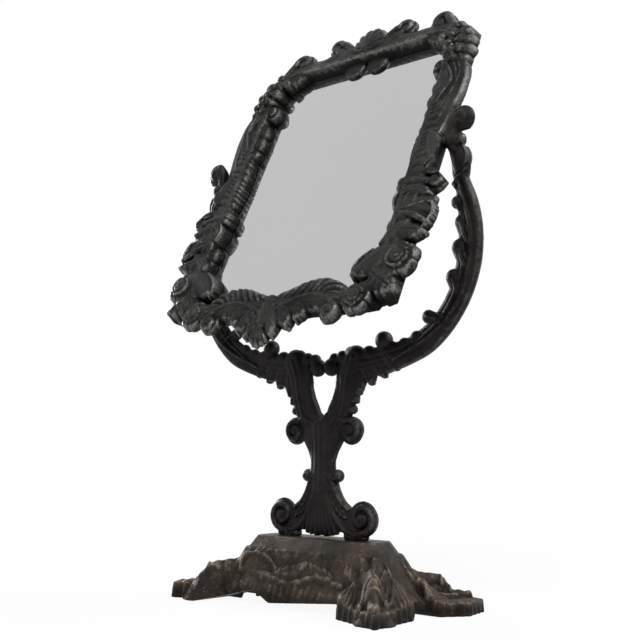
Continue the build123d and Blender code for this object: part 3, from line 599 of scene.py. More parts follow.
# %% Frame: fine lines of the smooth cove beside the crest
for line, (start, end) in enumerate(((118, 121), (121.5, 124.5), (125, 127.5), (128.5, 130.5))):
    cove_line = [(40 + 2 * line, start + 1), (56, start + 1.5), (72, end)]
    carving.bar(cove_line, (0.9, 1.2, 0.7), 5.2 - 0.5 * line, soft=0.4)

# %% Frame: scroll and cluster of knobs at the upper corner
carving.scroll([(92, 108), (91, 120), (86, 129)], 74.5, 133.5, 11.3, 0, 1.0, 4.6, (3.8, 2.2))
carving.leaf([(66, 122), (75, 117), (86, 109)], 6.5, 2.2, 4.0, lobes=3, ragged=0.08, veins=0.6)
knobs = ((89, 119, 5.4, 3.6), (96.5, 121, 5.0, 3.0), (95, 111, 5.6, 5.0), (104, 111, 6.8, 3.8),
         (110.5, 100, 5.8, 3.6), (112.5, 89.5, 5.4, 3.4), (110.5, 80, 5.4, 3.0), (103.5, 101, 5.2, 5.6),
         (92.5, 100, 5.2, 5.2), (106, 91, 5.0, 5.6), (98, 91.5, 4.8, 5.8), (101.5, 82.5, 5.0, 4.6),
         (84, 111, 5.0, 4.2), (93, 89, 3.6, 5.0))
for across, rise, r, z in knobs:
    carving.boss(across, rise, r, z, 4.6, soft=0.35)
    slant = math.atan2(rise - 97, across - 100)
    away_x, away_y = r * math.cos(slant), r * math.sin(slant)
    crease = [(across - 0.6 * away_x, rise - 0.6 * away_y), (across + 0.5 * away_x, rise + 0.5 * away_y)]
    carving.bar(crease, (1.5, 0.7), z + 3.6, soft=0.3)

# %% Frame: long ribbon of the upper side
band = [(104, 84), (108.5, 68), (108.5, 48), (106, 28), (104, 8)]
carving.ribbon(band, (6, 9, 9.8, 9.6, 8), 4.8, rise=0.14)
band_lines = (
    ([(96, 79), (102.5, 69), (107.6, 57.4), (102.6, 44.7), (98, 34)], (1.2, 1.7, 1.7, 1.1), 6.6),
    ([(108, 77), (112.5, 64), (112.5, 54), (110.4, 44), (109.3, 28.6), (105, 14.6)],
     (0.9, 1.3, 1.3, 1.0), 6.1),
    ([(104, 76), (108.5, 68), (111.5, 57)], (0.7, 1.0, 0.6), 6.8),
    ([(101, 55), (97.5, 45), (93.5, 36)], (0.8, 1.1, 0.7), 6.0),
    ([(108, 42), (104.5, 31), (99, 21)], (0.7, 1.1, 0.7), 6.4))
for line, widths, z in band_lines:
    carving.ribbon(line, widths, z, soft=0.25)
carving.scroll([(99, 62), (99.5, 70), (97, 76)], 89.5, 78, 7.4, 350, 0.95, 5.0, (3.0, 1.8))
carving.leaf([(96, 70), (96.5, 58), (95, 46)], 5.0, 3.6, 3.2, lobes=2, ragged=0.05, veins=0.4)

# %% Frame: feathered roll round the side at the pivot
roll = [(102, 36), (100.5, 16), (100, -6), (102, -33)]
carving.gadroons(roll, (9.0, 11.5, 12.2, 10.5), 2.4, 5.2, count=13, depth=1.6, soft=0.3, wander=0.5)
tongue = [(104, 5), (109, -9), (112.5, -21), (111, -31)]
carving.leaf(tongue, 6.4, 4.8, 3.4, lobes=1, ragged=0.0, veins=0.5, soft=0.4)
carving.ribbon([(116, -9), (114, -18), (108, -27)], (1.0, 1.3, 0.9), 7.4, soft=0.3)

# %% Frame: lower side with its roll, beaded fan and leaves
carving.scroll([(92, -37), (100, -33.5), (112, -31.5)], 120.5, -41, 9.6, 95, -1.05, 4.6, (3.6, 2.2))
carving.ribbon([(90, -44), (100, -40), (114, -42)], (3.0, 4.2, 3.4), 4.4, soft=0.4)
carving.boss(91.5, -39, 5.2, 3.6, 4.6, soft=0.4)
carving.shell(94, -60, -4, 120, (18, 30, 34, 31, 27, 22), 2.8, 4.6, ribs=6, depth=1.0)
for ridge in (
        [(92, -64), (89.5, -55), (93, -48), (99, -45.5)], [(98, -62), (100.5, -54), (106, -50)],
        [(108, -62), (109, -55.5), (112, -50.5)], [(95, -73), (104, -70), (113.5, -73.5), (120.5, -78)],
        [(96, -66), (106, -64.5), (117, -62)], [(93, -57), (96, -52), (102, -48)]):
    carving.ribbon(ridge, (1.0, 1.5, 0.9), 6.4, soft=0.25)
carving.boss(96, -58, 3.4, 3.0, 3.0, soft=0.3)
fan_rim = flowing([(119.5, -61.5), (124, -63.5), (126.6, -71), (125, -78), (122, -84)], 3)[1:]
for number, (across, rise) in enumerate(fan_rim):
    carving.boss(across, rise, 1.5 + 0.3 * math.sin(2.1 * number), 4.6, 2.0, soft=0.25)
carving.leaf([(97, -47), (108, -49), (121, -55)], 5.4, 5.2, 3.2, lobes=3, ragged=0.08, veins=0.6, soft=0.4)
carving.ribbon([(97, -68), (110, -72), (124, -80)], (2.2, 3.2, 2.0), 5.6, soft=0.4)
carving.boss(101, -71, 6.0, 3.4, 4.6, soft=0.5)
carving.leaf([(97, -84), (111, -85.5), (124, -88)], 8.0, 3.4, 4.2, lobes=3, ragged=0.1, veins=0.8)
carving.leaf([(108, -78), (99, -85), (90, -95)], 7.0, 3.8, 4.2, lobes=2, ragged=0.06, veins=0.5)

# %% Frame: roses and leaves of the lower corner
carving.leaf([(103, -100), (90, -107), (73, -119)], 11.5, 3.0, 5.0, lobes=1, ragged=0.0, veins=0.35)
carving.ribbon([(84, -98), (76, -105), (71.5, -113), (73.5, -121)], (1.0, 1.4, 1.0), 5.4, soft=0.3)
carving.leaf([(92, -120), (102, -127.5), (112.5, -134.5)], 11.0, 3.2, 4.8, lobes=4, ragged=0.16, veins=1.1)
carving.rose(110, -109, 14.2, 4.0, 5.4, turn=0.5)
carving.bar(curl(110, -109, 8.6, 130, 0.42, 0.9), (0.8, 1.5, 0.8), 8.2, soft=0.3)
carving.rose(82, -138, 12.6, 3.8, 5.0, petals=6, turn=0.1)

# %% Frame: fluted scrolls of the lower rail
upper = [(8, -131), (20, -129.5), (32, -126.5), (46, -125.5), (58, -129.5), (67, -137)]
carving.gadroons(
    upper, (5, 7.5, 9, 9.2, 8.5, 6), 2.6, 4.6, count=9, slant=-1.0, depth=3.0, soft=0.4, wander=0.2)
lower = [(6, -149), (18, -144.5), (34, -139.5), (50, -139)]
carving.gadroons(lower, (6.5, 7, 6.5, 5), 1.8, 4.0, count=7, slant=0.7, soft=0.5)
stem = [(0, -146), (6, -143.5), (15, -139), (25, -135), (35, -132.5), (47, -133), (57, -137.5),
        (64.5, -142)]
carving.scroll(stem, 60.5, -147, 8.8, 35, -1.1, 5.2, (2.6, 2.4))

# %% Frame: leaves of the pendant
carving.leaf([(30, -139), (32, -146), (31, -152)], 6.2, 3.0, 4.0, lobes=1, ragged=0.0, veins=0.6)
carving.leaf([(14, -141), (20, -150), (25, -157.5)], 7.0, 3.2, 4.2, lobes=2, ragged=0.06, veins=0.8)
carving.leaf([(4, -144), (9, -155), (13, -165)], 6.4, 3.4, 4.2, lobes=2, ragged=0.06, veins=0.8)
carving.shell(0, -155, -90, 84, (15, 18.5, 15), 3.4, 4.4, ribs=5, depth=1.4)
carving.leaf([(0, -134), (0, -146), (0, -159)], 8.0, 4.6, 3.6, lobes=3, ragged=0.08)
carving.boss(0, -133, 5.4, 4.4, 3.6, soft=0.5)
carving.both_sides()

# %% Frame: room for the arms
ARM_ROOM_SIDE, ARM_ROOM_HEIGHT = 115.9, 29.0
FRONT_LIFT = 2.0                         # the whole carving stands this much further forward
carving.top += FRONT_LIFT
room = ARM_ROOM_SIDE + np.maximum(np.abs(carving.y) - ARM_ROOM_HEIGHT, 0.0)
carving.top = np.where(np.abs(carving.x[:, None]) > room, GROUND, carving.top)

# %% Frame: skin
BACK_SIDE, BACK_TOP, BACK_LOW = 109.5, 132.0, -142.0    # edges of the flat back
CARVING_TOP = 15.0                      # nothing on the frame stands higher
x, y = carving.x[:, None], carving.y[None, :]
past_back = np.maximum(np.abs(x) - BACK_SIDE, np.maximum(y - BACK_TOP, BACK_LOW - y))
back = np.interp(past_back, (0, 6.3, 12, 24), (RAIL_BACK, 0.5, 0.8, 2.6))
in_pocket = (np.abs(x) < SIGHT_SIDE + POCKET) & (y < SIGHT_TOP + POCKET) & (y > SIGHT_LOW - POCKET)
back = np.where(in_pocket, GLASS_FRONT + 0.05, back)
levels = np.arange(RAIL_BACK - STEP, CARVING_TOP, STEP)
block = np.minimum(stacked(carving.top) - levels, levels - stacked(back))
cast("frame_casting", carving, block, levels[0], lean, "mirror", frame_iron,
     "mirror_frame", triangles=190000)

# %% [markdown]
# The yoke is drawn as it stands, with x across and y up from the floor, and the
# height out from its middle plane. The founder's pattern was split along that
# plane, so both faces are alike. It was cast in one with its arms.

# %% Yoke: sizes and its plane
BASE_TOP = 51.0
SEAT_ACROSS, SEAT_R, SEAT_TOP = 33.0, 5.0, 58.0
ARM_INNER, ARM_OUTER = 116.4, 126.8     # faces beside the pivot screw
KNUCKLE_R, BORE_R = 6.3, 2.55
YOKE_RELIEF = 6.4

upright = Matrix(((1, 0, 0, 0), (0, 0, -1, 0), (0, 1, 0, 0), (0, 0, 0, 1)))
yoke = Pattern(152.0, 48.0, 374.0, STEP)

# %% Yoke: fluted foot between two scrolls
yoke.shell(0, 101, -90, 52, (48, 49.8, 50, 49.8, 48), 1.6, 2.6, ribs=9, droop=-0.6, depth=0.9)
yoke.bar([(26, 53.5), (41, 53.5)], 3.2, 1.2)
yoke.ribbon([(4, 99), (8.5, 85), (17, 71.5), (31, 62)], (6.0, 7.8, 9.5, 8.5), 1.0, rise=0.16)
yoke.boss(29, 60, 6.5, 1.4, 1.2)
yoke.leaf([(8, 94), (13.5, 79), (25, 67)], 5.8, 1.9, 2.4, lobes=6, ragged=0.2, veins=1.3)
yoke.ribbon([(10.5, 96), (14, 87), (19.5, 79), (27, 73.5)], (2.2, 1.9, 1.5), 2.4)
foot_stem = [(2.5, 99), (6, 84), (14, 68), (25, 57.5), (36, 54.5)]
yoke.scroll(foot_stem, 40, 67.3, 13.2, -82, 1.3, 2.9, (2.6, 2.4))
yoke.boss(39, 67, 11.5, 0.8, 1.6)
yoke.boss(40, 67.3, 4.0, 2.8, 2.6, soft=0.3)

# %% Yoke: collar, shaft and the scrolls under the fork
shaft_grooves = (-0.62, -0.2, 0.2, 0.62)
yoke.bar([(0, 92), (0, 136)], (12.6, 11.6, 11.6, 13.5), 0.6, rise=0.42, grooves=shaft_grooves, depth=0.8)
yoke.bar([(6, 108), (9, 120), (13.5, 130)], (5.0, 6.4, 8.0), 0.5, rise=0.42)
yoke.bar([(0, 99), (12, 98.5)], (3.4, 4.4), 1.2)
yoke.boss(14.6, 98.5, 5.0, 1.0, 4.2)
yoke.bar(curl(14.8, 98.5, 3.2, 150, 0.8), (0.9, 0.7), 4.6, soft=0.3)
yoke.boss(0, 99, 4.2, 2.4, 2.8)
yoke.boss(28, 133, 10.2, 0.8, 2.2)
yoke.scroll([(2, 128), (8, 138), (17, 143.5)], 28, 133, 10.8, 118, -1.3, 3.0, (2.6, 2.0))
neck = [(12, 134), (20, 147), (24, 162), (26, 176), (31, 189)]
yoke.ribbon(neck, (6.5, 8.2, 9.2, 10.0), 0.4, rise=0.55, grooves=(-0.3, 0.25), depth=0.8)
yoke.ribbon([(5, 134), (12, 149), (17, 164), (19, 182)], (6.5, 8.0, 6.5, 5.5), 0.3, rise=0.5)
yoke.boss(28.8, 149.5, 3.8, 0.6, 3.4)
yoke.boss(7, 183, 7.2, 0.4, 4.8)

# %% Yoke: leaves under and over the fork
for path in (((30, 190), (34, 175), (35, 162)), ((36, 190), (44, 179), (47, 169)),
             ((46, 192), (54, 183), (59, 174)), ((58, 194), (65, 187), (70, 179)),
             ((22, 172), (28, 162), (32, 155.5))):
    yoke.leaf(path, 7.2, 0.8, 3.4, lobes=2, ragged=0.06, veins=0.7, tip=1.3)
for across, rise, r in ((44, 192, 6.0), (35, 191, 5.4), (26.5, 192.5, 5.8), (18, 190, 5.6), (10, 189, 5.0)):
    yoke.boss(across, rise, r, 0.6, 3.6)
yoke.boss(58, 201, 7.0, 1.0, 5.0)

# %% Yoke: the bow of the arm
bow = [(28, 184), (58, 187), (87, 196), (109, 211), (124, 232), (131.5, 256), (132.5, 285), (127.5, 314)]
bow_widths = (11.5, 10.5, 8.0, 7.5, 8.0, 8.5, 8.0, 6.0)
yoke.ribbon(bow, bow_widths, 0.2, rise=0.4, grooves=(-0.6, -0.2, 0.2), depth=0.8, soft=1.0)
band = [(60, 178), (86, 188.5), (99.5, 195.5), (112.5, 207), (123.5, 221), (131, 235), (136.3, 251),
        (138.4, 267), (138.2, 283), (135.5, 298), (131.3, 310), (128.5, 317)]
band_widths = (2.6, 4.2, 5.0, 5.4, 5.6, 5.6, 5.6, 5.6, 5.4, 4.6, 3.8, 3.0)
yoke.ribbon(band, band_widths, 2.4, rise=0.42, grooves=(0.8,), depth=0.8)
rim = [(70, 186), (95, 197), (111, 207), (123.5, 219.5), (131, 232), (136, 249), (137.5, 262),
       (136.5, 277), (133.5, 290), (129.5, 303), (126, 313)]
yoke.ribbon(rim, (1.2, 1.5, 1.7, 1.7, 1.6, 1.2), 4.2, soft=0.3)
inner_rim = [(78, 190), (95, 201), (110, 213), (120, 226), (127, 241), (131, 258)]
yoke.ribbon(inner_rim, (0.8, 1.2, 1.2, 0.8), 3.6, soft=0.3)

# %% Yoke: large leaves along the inner edge of the arm
arm_leaves = (
    ((134.5, 264), (130.0, 275), (127.5, 283), 5.8), ((133.5, 243), (129.0, 255), (125.5, 264.5), 6.4),
    ((127.0, 221), (124.0, 233), (120.5, 243), 6.4), ((113, 207), (106.5, 213), (98.5, 216), 5.2))
for root, middle, tip, r in arm_leaves:
    yoke.ribbon([root, middle, tip], (0.5 * r, 0.85 * r, r), 0.6, rise=0.55, soft=0.4)
    yoke.ribbon([root, middle, tip], (0.8, 1.2, 0.7), 3.6, soft=0.3)
    yoke.bar([(root[0] + 2, root[1] + 5), (middle[0] + 2, middle[1] + 4)], (0.6, 1.0, 0.5), 3.8, soft=0.3)
for across, rise, r in ((88, 201, 5.6), (77, 196.5, 5.6), (66, 194.5, 5.6)):
    yoke.boss(across, rise, r, 0.4, 2.6)
yoke.boss(124.0, 298, 5.0, 0.8, 3.8, soft=0.4)
yoke.bar([(127, 303), (124, 298), (126, 292)], (0.7, 1.1, 0.7), 3.8, soft=0.3)
yoke.boss(124.5, 310.5, 3.6, 1.0, 4.0)

# %% Yoke: waist, leaf and curled top of the arm
yoke.bar([(131.5, 321), (127, 316.5), (122, 311.5)], (1.6, 2.2, 1.8), 2.6)
spine = [(127.0, 311), (126.5, 329), (123.5, 348)]
yoke.leaf(spine, 7.6, 0.6, 2.4, lobes=1, ragged=0.0, veins=0.3, soft=1.0)
rim_leaf = [(125, 320), (129, 322.5), (132.4, 327), (132.8, 333), (130.5, 338.5), (127, 342)]
yoke.ribbon(rim_leaf, (0.9, 1.2, 1.1, 0.8), 3.2, soft=0.25)
yoke.ribbon([(118.5, 338), (121, 329), (124, 320)], (0.8, 1.0, 0.8), 2.8, soft=0.25)
yoke.bar([(117.5, 345), (126.0, 345)], KNUCKLE_R, 0.0, soft=0.4)
yoke.ribbon([(120.5, 340), (120.2, 350), (120.8, 360), (124.5, 367)], (4.6, 4.8, 4.6, 3.0), 0.6, rise=0.9)
yoke.boss(128.2, 360, 10.8, -0.6, 3.4, soft=0.5)
yoke.scroll([(121.5, 343), (119.2, 351)], 128.2, 360, 7.6, 200, -0.95, 2.0, (3.4, 3.0))
yoke.boss(129.0, 359, 2.6, 2.4, 2.0, soft=0.4)
yoke.both_sides()

# %% Yoke: openings, seats and skin
FREE_FROM, ARMS_FROM = 325.0, 110.0     # the arms' inner faces are flat from here up; bored from here out
x, y = yoke.x[:, None], yoke.y[None, :]
span = np.abs(x)
tear = np.interp(y, (140, 148, 160, 169, 174, 177.5), (0, 4.5, 10.5, 13, 11, 0), left=-20, right=-20)
yoke.top = np.where(span < tear, GROUND, yoke.top)
scallop = 51.9 + 1.1 * np.abs(np.cos(np.pi * x / 9.0))
yoke.top = np.where((span < 21) & (y < scallop), GROUND, yoke.top)
yoke.top = np.where((span < ARM_INNER) & (y > FREE_FROM), GROUND, yoke.top)
levels = np.arange(-YOKE_RELIEF - 2 * STEP, YOKE_RELIEF + 2 * STEP, STEP)
block = stacked(np.minimum(yoke.top, YOKE_RELIEF)) - np.abs(levels)
span, y = stacked(span), stacked(y)
seat = SEAT_R - np.hypot(span - SEAT_ACROSS, levels + 0 * y)
block = np.maximum(block, np.where(y < SEAT_TOP, seat, GROUND))
block = np.minimum(block, y - BASE_TOP)
from_axis = np.hypot(y - PIVOT_HEIGHT, levels + 0 * span)
block = np.where(span > ARMS_FROM, np.minimum(block, from_axis - BORE_R), block)
head_room = np.maximum(ARM_OUTER - span, from_axis - KNUCKLE_R - 0.1)
block = np.minimum(block, head_room)
cast("yoke_cast", yoke, block, levels[0], upright, "stand", yoke_iron,
     "yoke_casting", triangles=150000)

# %% [markdown]
# The base is drawn from above. A flat plate on top slopes to a ledge, then the
# long faces, the end faces and the four hips each fall along a profile of their
# own. The ornament of the long faces is drawn as it is seen from the front and
# laid on by the height of each spot. Turned half round, the base looks nearly
# the same: two feet have a long run and two a short one. As in the photograph,
# the hump behind on the right lies lower, and the foot in front on the left is
# narrow and points further outwards.

# %% Base: sizes and profiles
PLATE_X, PLATE_Y = 57.0, 17.0
LEDGE, FACET = 41.5, 7.5                # height of the ledge and run of the slope down to it
IRON = 7.0                              # thickness of the plate and the walls
HOLLOW_X, HOLLOW_Y, HOLLOW_TOP = 68.0, 29.0, 44.0
HOLLOW_CORNER = 88.0                    # x and y together, where its corners are cut off
LOWER_BEHIND, TURNED_OUT = 6.0, 1.4     # of the hump behind, and of the hip in front
HIP = ((0, 45), (3, 40.5), (7, 37), (11, 32.5), (15, 30.5), (33, 28.5), (38, 25), (44, 16.5),
       (50, 10), (56, 0), (60, -30))
LONG_FACE = ((7.5, 41.5), (9.6, 37.5), (14, 25.5), (19, 14), (21.5, 3), (24, -14))
END_FACE = ((7.5, 41.5), (10, 37.5), (16, 28), (24, 16), (31, 9), (36, -14))
LONG_ARCH = ((-86, 0), (-39, 11.3), (-20, 3.2), (45, 8.8), (49, 0))
END_ARCH = ((-12, 0), (-8, 11), (10, 10), (15, 0))


def height_on(profile, place):
    """Height of a profile at a place"""
    return np.interp(place, *zip(*profile))


plan = Pattern(116.0, -76.0, 76.0, STEP)
x, y = plan.x[:, None], plan.y[None, :]
far_x, far_y = np.abs(x), np.abs(y)
front_left, back_right = (x < 0) & (y < 0), (x > 0) & (y > 0)
out_x, out_y = np.maximum(far_x - PLATE_X, 0), np.maximum(far_y - PLATE_Y, 0)
out = np.hypot(out_x, out_y) + 1e-9
ridge_y = out_y * np.where(front_left, TURNED_OUT, 1.0)
on_hip = (2 * out_x * ridge_y / (out_x ** 2 + ridge_y ** 2 + 1e-9)) ** 3.0
faces = height_on(LONG_FACE, out) * (out_y / out) ** 2 + height_on(END_FACE, out) * (out_x / out) ** 2
hip = height_on(HIP, out) - LOWER_BEHIND * back_right * np.clip((out - 9) / 9, 0, 1)
shape = np.minimum(faces * (1 - on_hip) + hip * on_hip, LEDGE)
cut_corner = (far_x - 52.0) * 0.85 + (far_y - PLATE_Y) * 0.53
beyond_plate = np.maximum(np.maximum(far_x - PLATE_X, far_y - PLATE_Y), cut_corner)
facet = BASE_TOP - (BASE_TOP - LEDGE) * np.maximum(beyond_plate, 0) / FACET
shape = np.where(beyond_plate < FACET, facet, shape)

# %% Base: blocks of the feet
FOOT_TOP, FOOT_SIDE = 10.5, 12.0        # height of the blocks, and how steeply their sides fall
SKIRT_RISE, SKIRT_REACH = 13.0, 11.0    # the feet swell up to a line across each hip
hump_x, hump_y = 56.0, 36.0             # where that line starts, and its run
run_x, run_y = 24.0, -21.0
long_foot = [(52, -46), (100, -64.5), (95, -10), (76, -9), (57, -34)]
short_foot = [(98, 14), (112, 34), (107, 62.5), (74, 51), (60, 34), (75, 14)]
slim_foot = [(98, 14), (113, 31), (113, 52), (100, 48.5), (80, 38), (62, 28), (75, 14)]


def foot_block(corners):
    """Distance outside a convex outline, fluted round its rim"""
    outside = np.full(shape.shape, -99.0)
    for (ax, ay), (bx, by) in zip(corners, corners[1:] + corners[:1]):
        run = math.hypot(bx - ax, by - ay)
        away = ((x - ax) * (by - ay) - (y - ay) * (bx - ax)) / run
        along = ((x - ax) * (bx - ax) + (y - ay) * (by - ay)) / run
        outside = np.maximum(outside, away + 0.9 * np.abs(np.cos(math.pi * along / 7.5)))
    return outside


share = ((far_x - hump_x) * run_x + (far_y - hump_y) * run_y) / (run_x ** 2 + run_y ** 2)
share = np.clip(share, 0, 1)
aside = np.hypot(far_x - hump_x - share * run_x, far_y - hump_y - share * run_y)
skirt = SKIRT_RISE * np.exp(-(aside / SKIRT_REACH) ** 2)
past_rim = np.full(shape.shape, 99.0)
# outline, its corners round the tip, half turn, and how much higher the block is
for corners, tip_corners, turned, higher in (
        (long_foot, 3, 1, 0), (long_foot, 3, -1, 0), (short_foot, 4, 1, 0), (slim_foot, 4, -1, 3.0)):
    corners = [(turned * a, turned * b) for a, b in corners]
    outside = foot_block(corners)
    past_rim = np.minimum(past_rim, foot_block(corners[:tip_corners] + [(0, 0)]))
    block_top = FOOT_TOP + higher + skirt - 1.6 * np.clip((outside + 3) / 3, 0, 1) ** 2
    shape = soft_max(shape, block_top - FOOT_SIDE * np.maximum(outside, 0), 1.2)

# %% Base: ornament of the feet, seen from above
plan.top[:] = 0.0
finger = [(64, -21), (72, -31), (80, -41), (88, -50), (94, -57)]
fans = ((60, -27, -58, 70, (20, 26, 31, 33, 30)), (71, -14, -38, 74, (20, 29, 32, 30, 24)))
lips = ([(48, -30), (57, -31), (67, -36), (75, -45), (80, -55)],
        [(68, -10), (76, -13), (83, -21), (89, -32), (94, -44)])
for quarter in (1, -1):
    plan.ribbon(np.multiply(finger, (1, quarter)), (2.6, 3.8, 4.4, 4.4, 4.2), 0.8, soft=0.4)
    for across, depth in ((81, -42), (85.5, -47.5)):
        ring = [(across - 3.6, depth - 3.2), (across + 3.6, depth + 3.2)]
        plan.bar(np.multiply(ring, (1, quarter)), 1.0, 5.0)
    plan.boss(95, quarter * -58, 4.2, 1.6, 4.2, soft=0.3)
    for across, depth, turn, spread, reach in fans:
        plan.shell(across, quarter * depth, quarter * turn, spread, reach, 0.4, 3.4, ribs=7, depth=2.2)
    for lip in lips:
        plan.ribbon(np.multiply(lip, (1, quarter)), 1.5, 2.4, soft=0.4)
plan.both_sides()
on_feet = np.clip(plan.top, 0, 6) * np.clip(1.0 - 0.7 * past_rim, 0, 1)
on_feet = on_feet * np.where(front_left, 0.4, 1.0)

# %% Base: ornament of the long faces, seen from the front
facing = Pattern(64.0, -2.0, 48.0, STEP)
facing.top[:] = 0.0
facing.shell(-57, 23, 24, 66, (22, 34, 38, 36, 24), 0.2, 2.2, ribs=8, depth=1.4)
facing.ribbon([(-58, 24), (-58.5, 31), (-54, 36), (-42, 36.5), (-30, 33.5), (-21, 27)], 1.3, 1.6, soft=0.3)
facing.ribbon([(-56, 25), (-42, 23.5), (-25, 23), (-10, 25)], 1.1, 1.3, soft=0.3)
facing.leaf([(-18, 24), (-4, 26), (9, 33)], 5.5, 0.3, 2.8, lobes=4, ragged=0.2)
facing.leaf([(34, 25), (22, 27), (12, 33)], 5.0, 0.3, 2.4, lobes=4, ragged=0.2)
facing.shell(54, 22, 138, 74, (16, 24, 26, 22), 0.3, 2.4, ribs=6, depth=1.5)
wave = [(-36, 22), (-20, 20), (-5, 17.5), (8, 20.5), (20, 24), (32, 22.5), (46, 20)]
facing.ribbon(wave, 1.5, 1.2, soft=0.4)
for flute in range(9):
    across, top = -22 + 6.2 * flute, 15.5 + 1.5 * math.sin(2.3 * flute)
    facing.bar([(across, 5), (across + 0.8, top)], (2.6, 1.6), 0.0, rise=0.9, soft=0.3)
facing.boss(48, 13, 5.0, 0.0, 2.2)
facing.boss(-47, 15, 7.0, 0.0, 2.6)
facing.top = np.clip(facing.top, 0, 4)
spots = np.column_stack([(x + 0 * y).ravel(), shape.ravel()])
on_front = facing.sampled(facing.top, spots).reshape(shape.shape)
on_back = facing.sampled(facing.top, spots * (-1, 1)).reshape(shape.shape)
on_long = np.where(y < 0, on_front, on_back) * (out_y > 6.5) * (1 - on_hip) * (far_x < 62)

# %% Base: skin, hollow below
# both skins are uneven by a few tenths of a millimetre
hammered = 0.5 * np.sin(0.61 * x + 0.8 * np.sin(0.37 * y)) * np.sin(0.53 * y + 1.1 * np.sin(0.29 * x))
worn_top = 0.35 * np.sin(0.19 * x + 0.9 * np.sin(0.13 * y)) * np.sin(0.31 * y)
below_ledge = beyond_plate > FACET
shape = shape + (on_feet * np.clip((out - 9) / 6, 0, 1) + on_long * 0.9 + hammered) * below_ledge
shape = np.where(beyond_plate < 0, BASE_TOP, shape + worn_top * (beyond_plate < FACET - 0.5))
plan.top = np.minimum(shape, BASE_TOP)
side_x, end_y = np.where(y < 0, x, -x), np.where(x > 0, y, -y)
in_end = (far_x > HOLLOW_X + 2) & (far_y < 16)
lower_edge = np.where(in_end, height_on(END_ARCH, end_y), height_on(LONG_ARCH, side_x))
in_hollow = (far_x < HOLLOW_X) & (far_y < HOLLOW_Y) & (far_x + far_y < HOLLOW_CORNER)
roof = np.minimum(plan.top - IRON, HOLLOW_TOP)
under = np.where(in_hollow, np.maximum(roof, lower_edge), lower_edge)
in_feet = ((side_x > 49) | (side_x < -84)) & (far_y > 34) | (far_x > 84) & (far_y > 16)
under = np.where(in_feet & ~in_hollow, 0.0, under)
levels = np.arange(-2 * STEP, BASE_TOP + 2 * STEP, STEP)
block = np.minimum(stacked(plan.top) - levels, levels - stacked(np.maximum(under, 0.02)))
for side in (-1, 1):
    block = np.minimum(block, stacked(np.hypot(x - side * SEAT_ACROSS, y) - BORE_R))
cast("base_cast", plan, block, levels[0], Matrix.Identity(4), "stand", base_iron,
     "base_casting", triangles=150000)

# %% [markdown]
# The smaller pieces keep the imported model's shapes and get finishes of their
# own. The glass mirrors like silver, with dull specks where damp has crept in.
# Screws and washers are dark steel, the back plate is sheet iron, the
# packing is grey card and the wedges are cut from pine.

# %% Finishes of the small pieces
def silvered():
    """Old silvering behind glass"""
    finish = Finish("silvered_glass", metallic=1.0)
    cloud = finish.noise(60.0, 3.0).within(0.35, 0.75)
    specks = finish.noise(2.4, 5.0, 0.7).within(0.62, 0.78)
    tone = finish.mix(cloud, (0.512, 0.514, 0.516), (0.522, 0.522, 0.522))
    finish.feed(base_color=finish.mix(specks * 0.25, tone, (0.30, 0.29, 0.27)))
    finish.feed(roughness=0.015 + specks * 0.10)
    return finish.material


def steel():
    """Darkened steel with worn spots and a breath of rust"""
    finish = Finish("dark_steel", metallic=0.9)
    spots = finish.noise(1.8, 4.0, 0.6)
    rust = finish.noise(3.5, 4.0, 0.7).within(0.55, 0.75)
    tone = finish.mix(spots.within(0.3, 0.7), (0.030, 0.029, 0.028), (0.10, 0.096, 0.092))
    finish.feed(base_color=finish.mix(rust * 0.6, tone, (0.11, 0.055, 0.03)))
    finish.feed(roughness=0.32 + spots * 0.25 + rust * 0.2)
    finish.bump(spots, 0.04)
    return finish.material


def sheet():
    """Sheet iron, rolled and gone brown in patches"""
    finish = Finish("sheet_iron", metallic=0.6)
    patches = finish.noise(22.0, 5.0, 0.6)
    pits = finish.noise(1.6, 4.0, 0.7)
    tone = finish.mix(patches.within(0.35, 0.65), (0.045, 0.043, 0.041), (0.10, 0.085, 0.072))
    finish.feed(base_color=finish.mix(pits.within(0.55, 0.75) * 0.7, tone, (0.13, 0.065, 0.035)))
    finish.feed(roughness=0.45 + patches * 0.3)
    finish.bump(pits + patches, 0.10)
    return finish.material


def card():
    """Grey card with short fibres"""
    finish = Finish("packing_card", roughness=0.95)
    fibres = finish.noise(0.8, 4.0, 0.7)
    stain = finish.noise(35.0, 3.0)
    tone = finish.mix(fibres, (0.20, 0.18, 0.15), (0.36, 0.33, 0.28))
    finish.feed(base_color=finish.mix(stain.within(0.45, 0.7) * 0.6, tone, (0.15, 0.11, 0.07)))
    finish.bump(fibres, 0.05)
    return finish.material


def pine():
    """Wedge wood with its grain along x"""
    finish = Finish("wedge_wood", roughness=0.75)
    stretched = finish.node("ShaderNodeMapping", {}, {"Vector": finish.place, "Scale": (0.12, 1.0, 1.0)})
    sockets = {"Vector": stretched, "Scale": 1 / (1.2 * MM), "Detail": 3.0}
    grain = finish.node("ShaderNodeTexNoise", {}, sockets)
    finish.feed(base_color=finish.mix(grain.within(0.3, 0.7), (0.30, 0.17, 0.08), (0.52, 0.34, 0.17)))
    finish.bump(grain, 0.05)
    return finish.material


def dress(material, *names):
    """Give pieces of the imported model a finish"""
    for name in names:
        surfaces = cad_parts[name].data.materials
        surfaces.clear()
        surfaces.append(material)


dark_steel = steel()
dress(silvered(), "mirror_glass")
dress(sheet(), "back_plate")
dress(card(), "packing_card")
dress(pine(), "glass_wedges")
for side in ("left", "right"):
    dress(dark_steel, "stand_bolt_" + side, "stand_washer_" + side, "pivot_screw_" + side)
    dress(dark_steel, "pivot_lock_nut_" + side, "pivot_spring_washer_" + side, "pivot_head_washer_" + side)

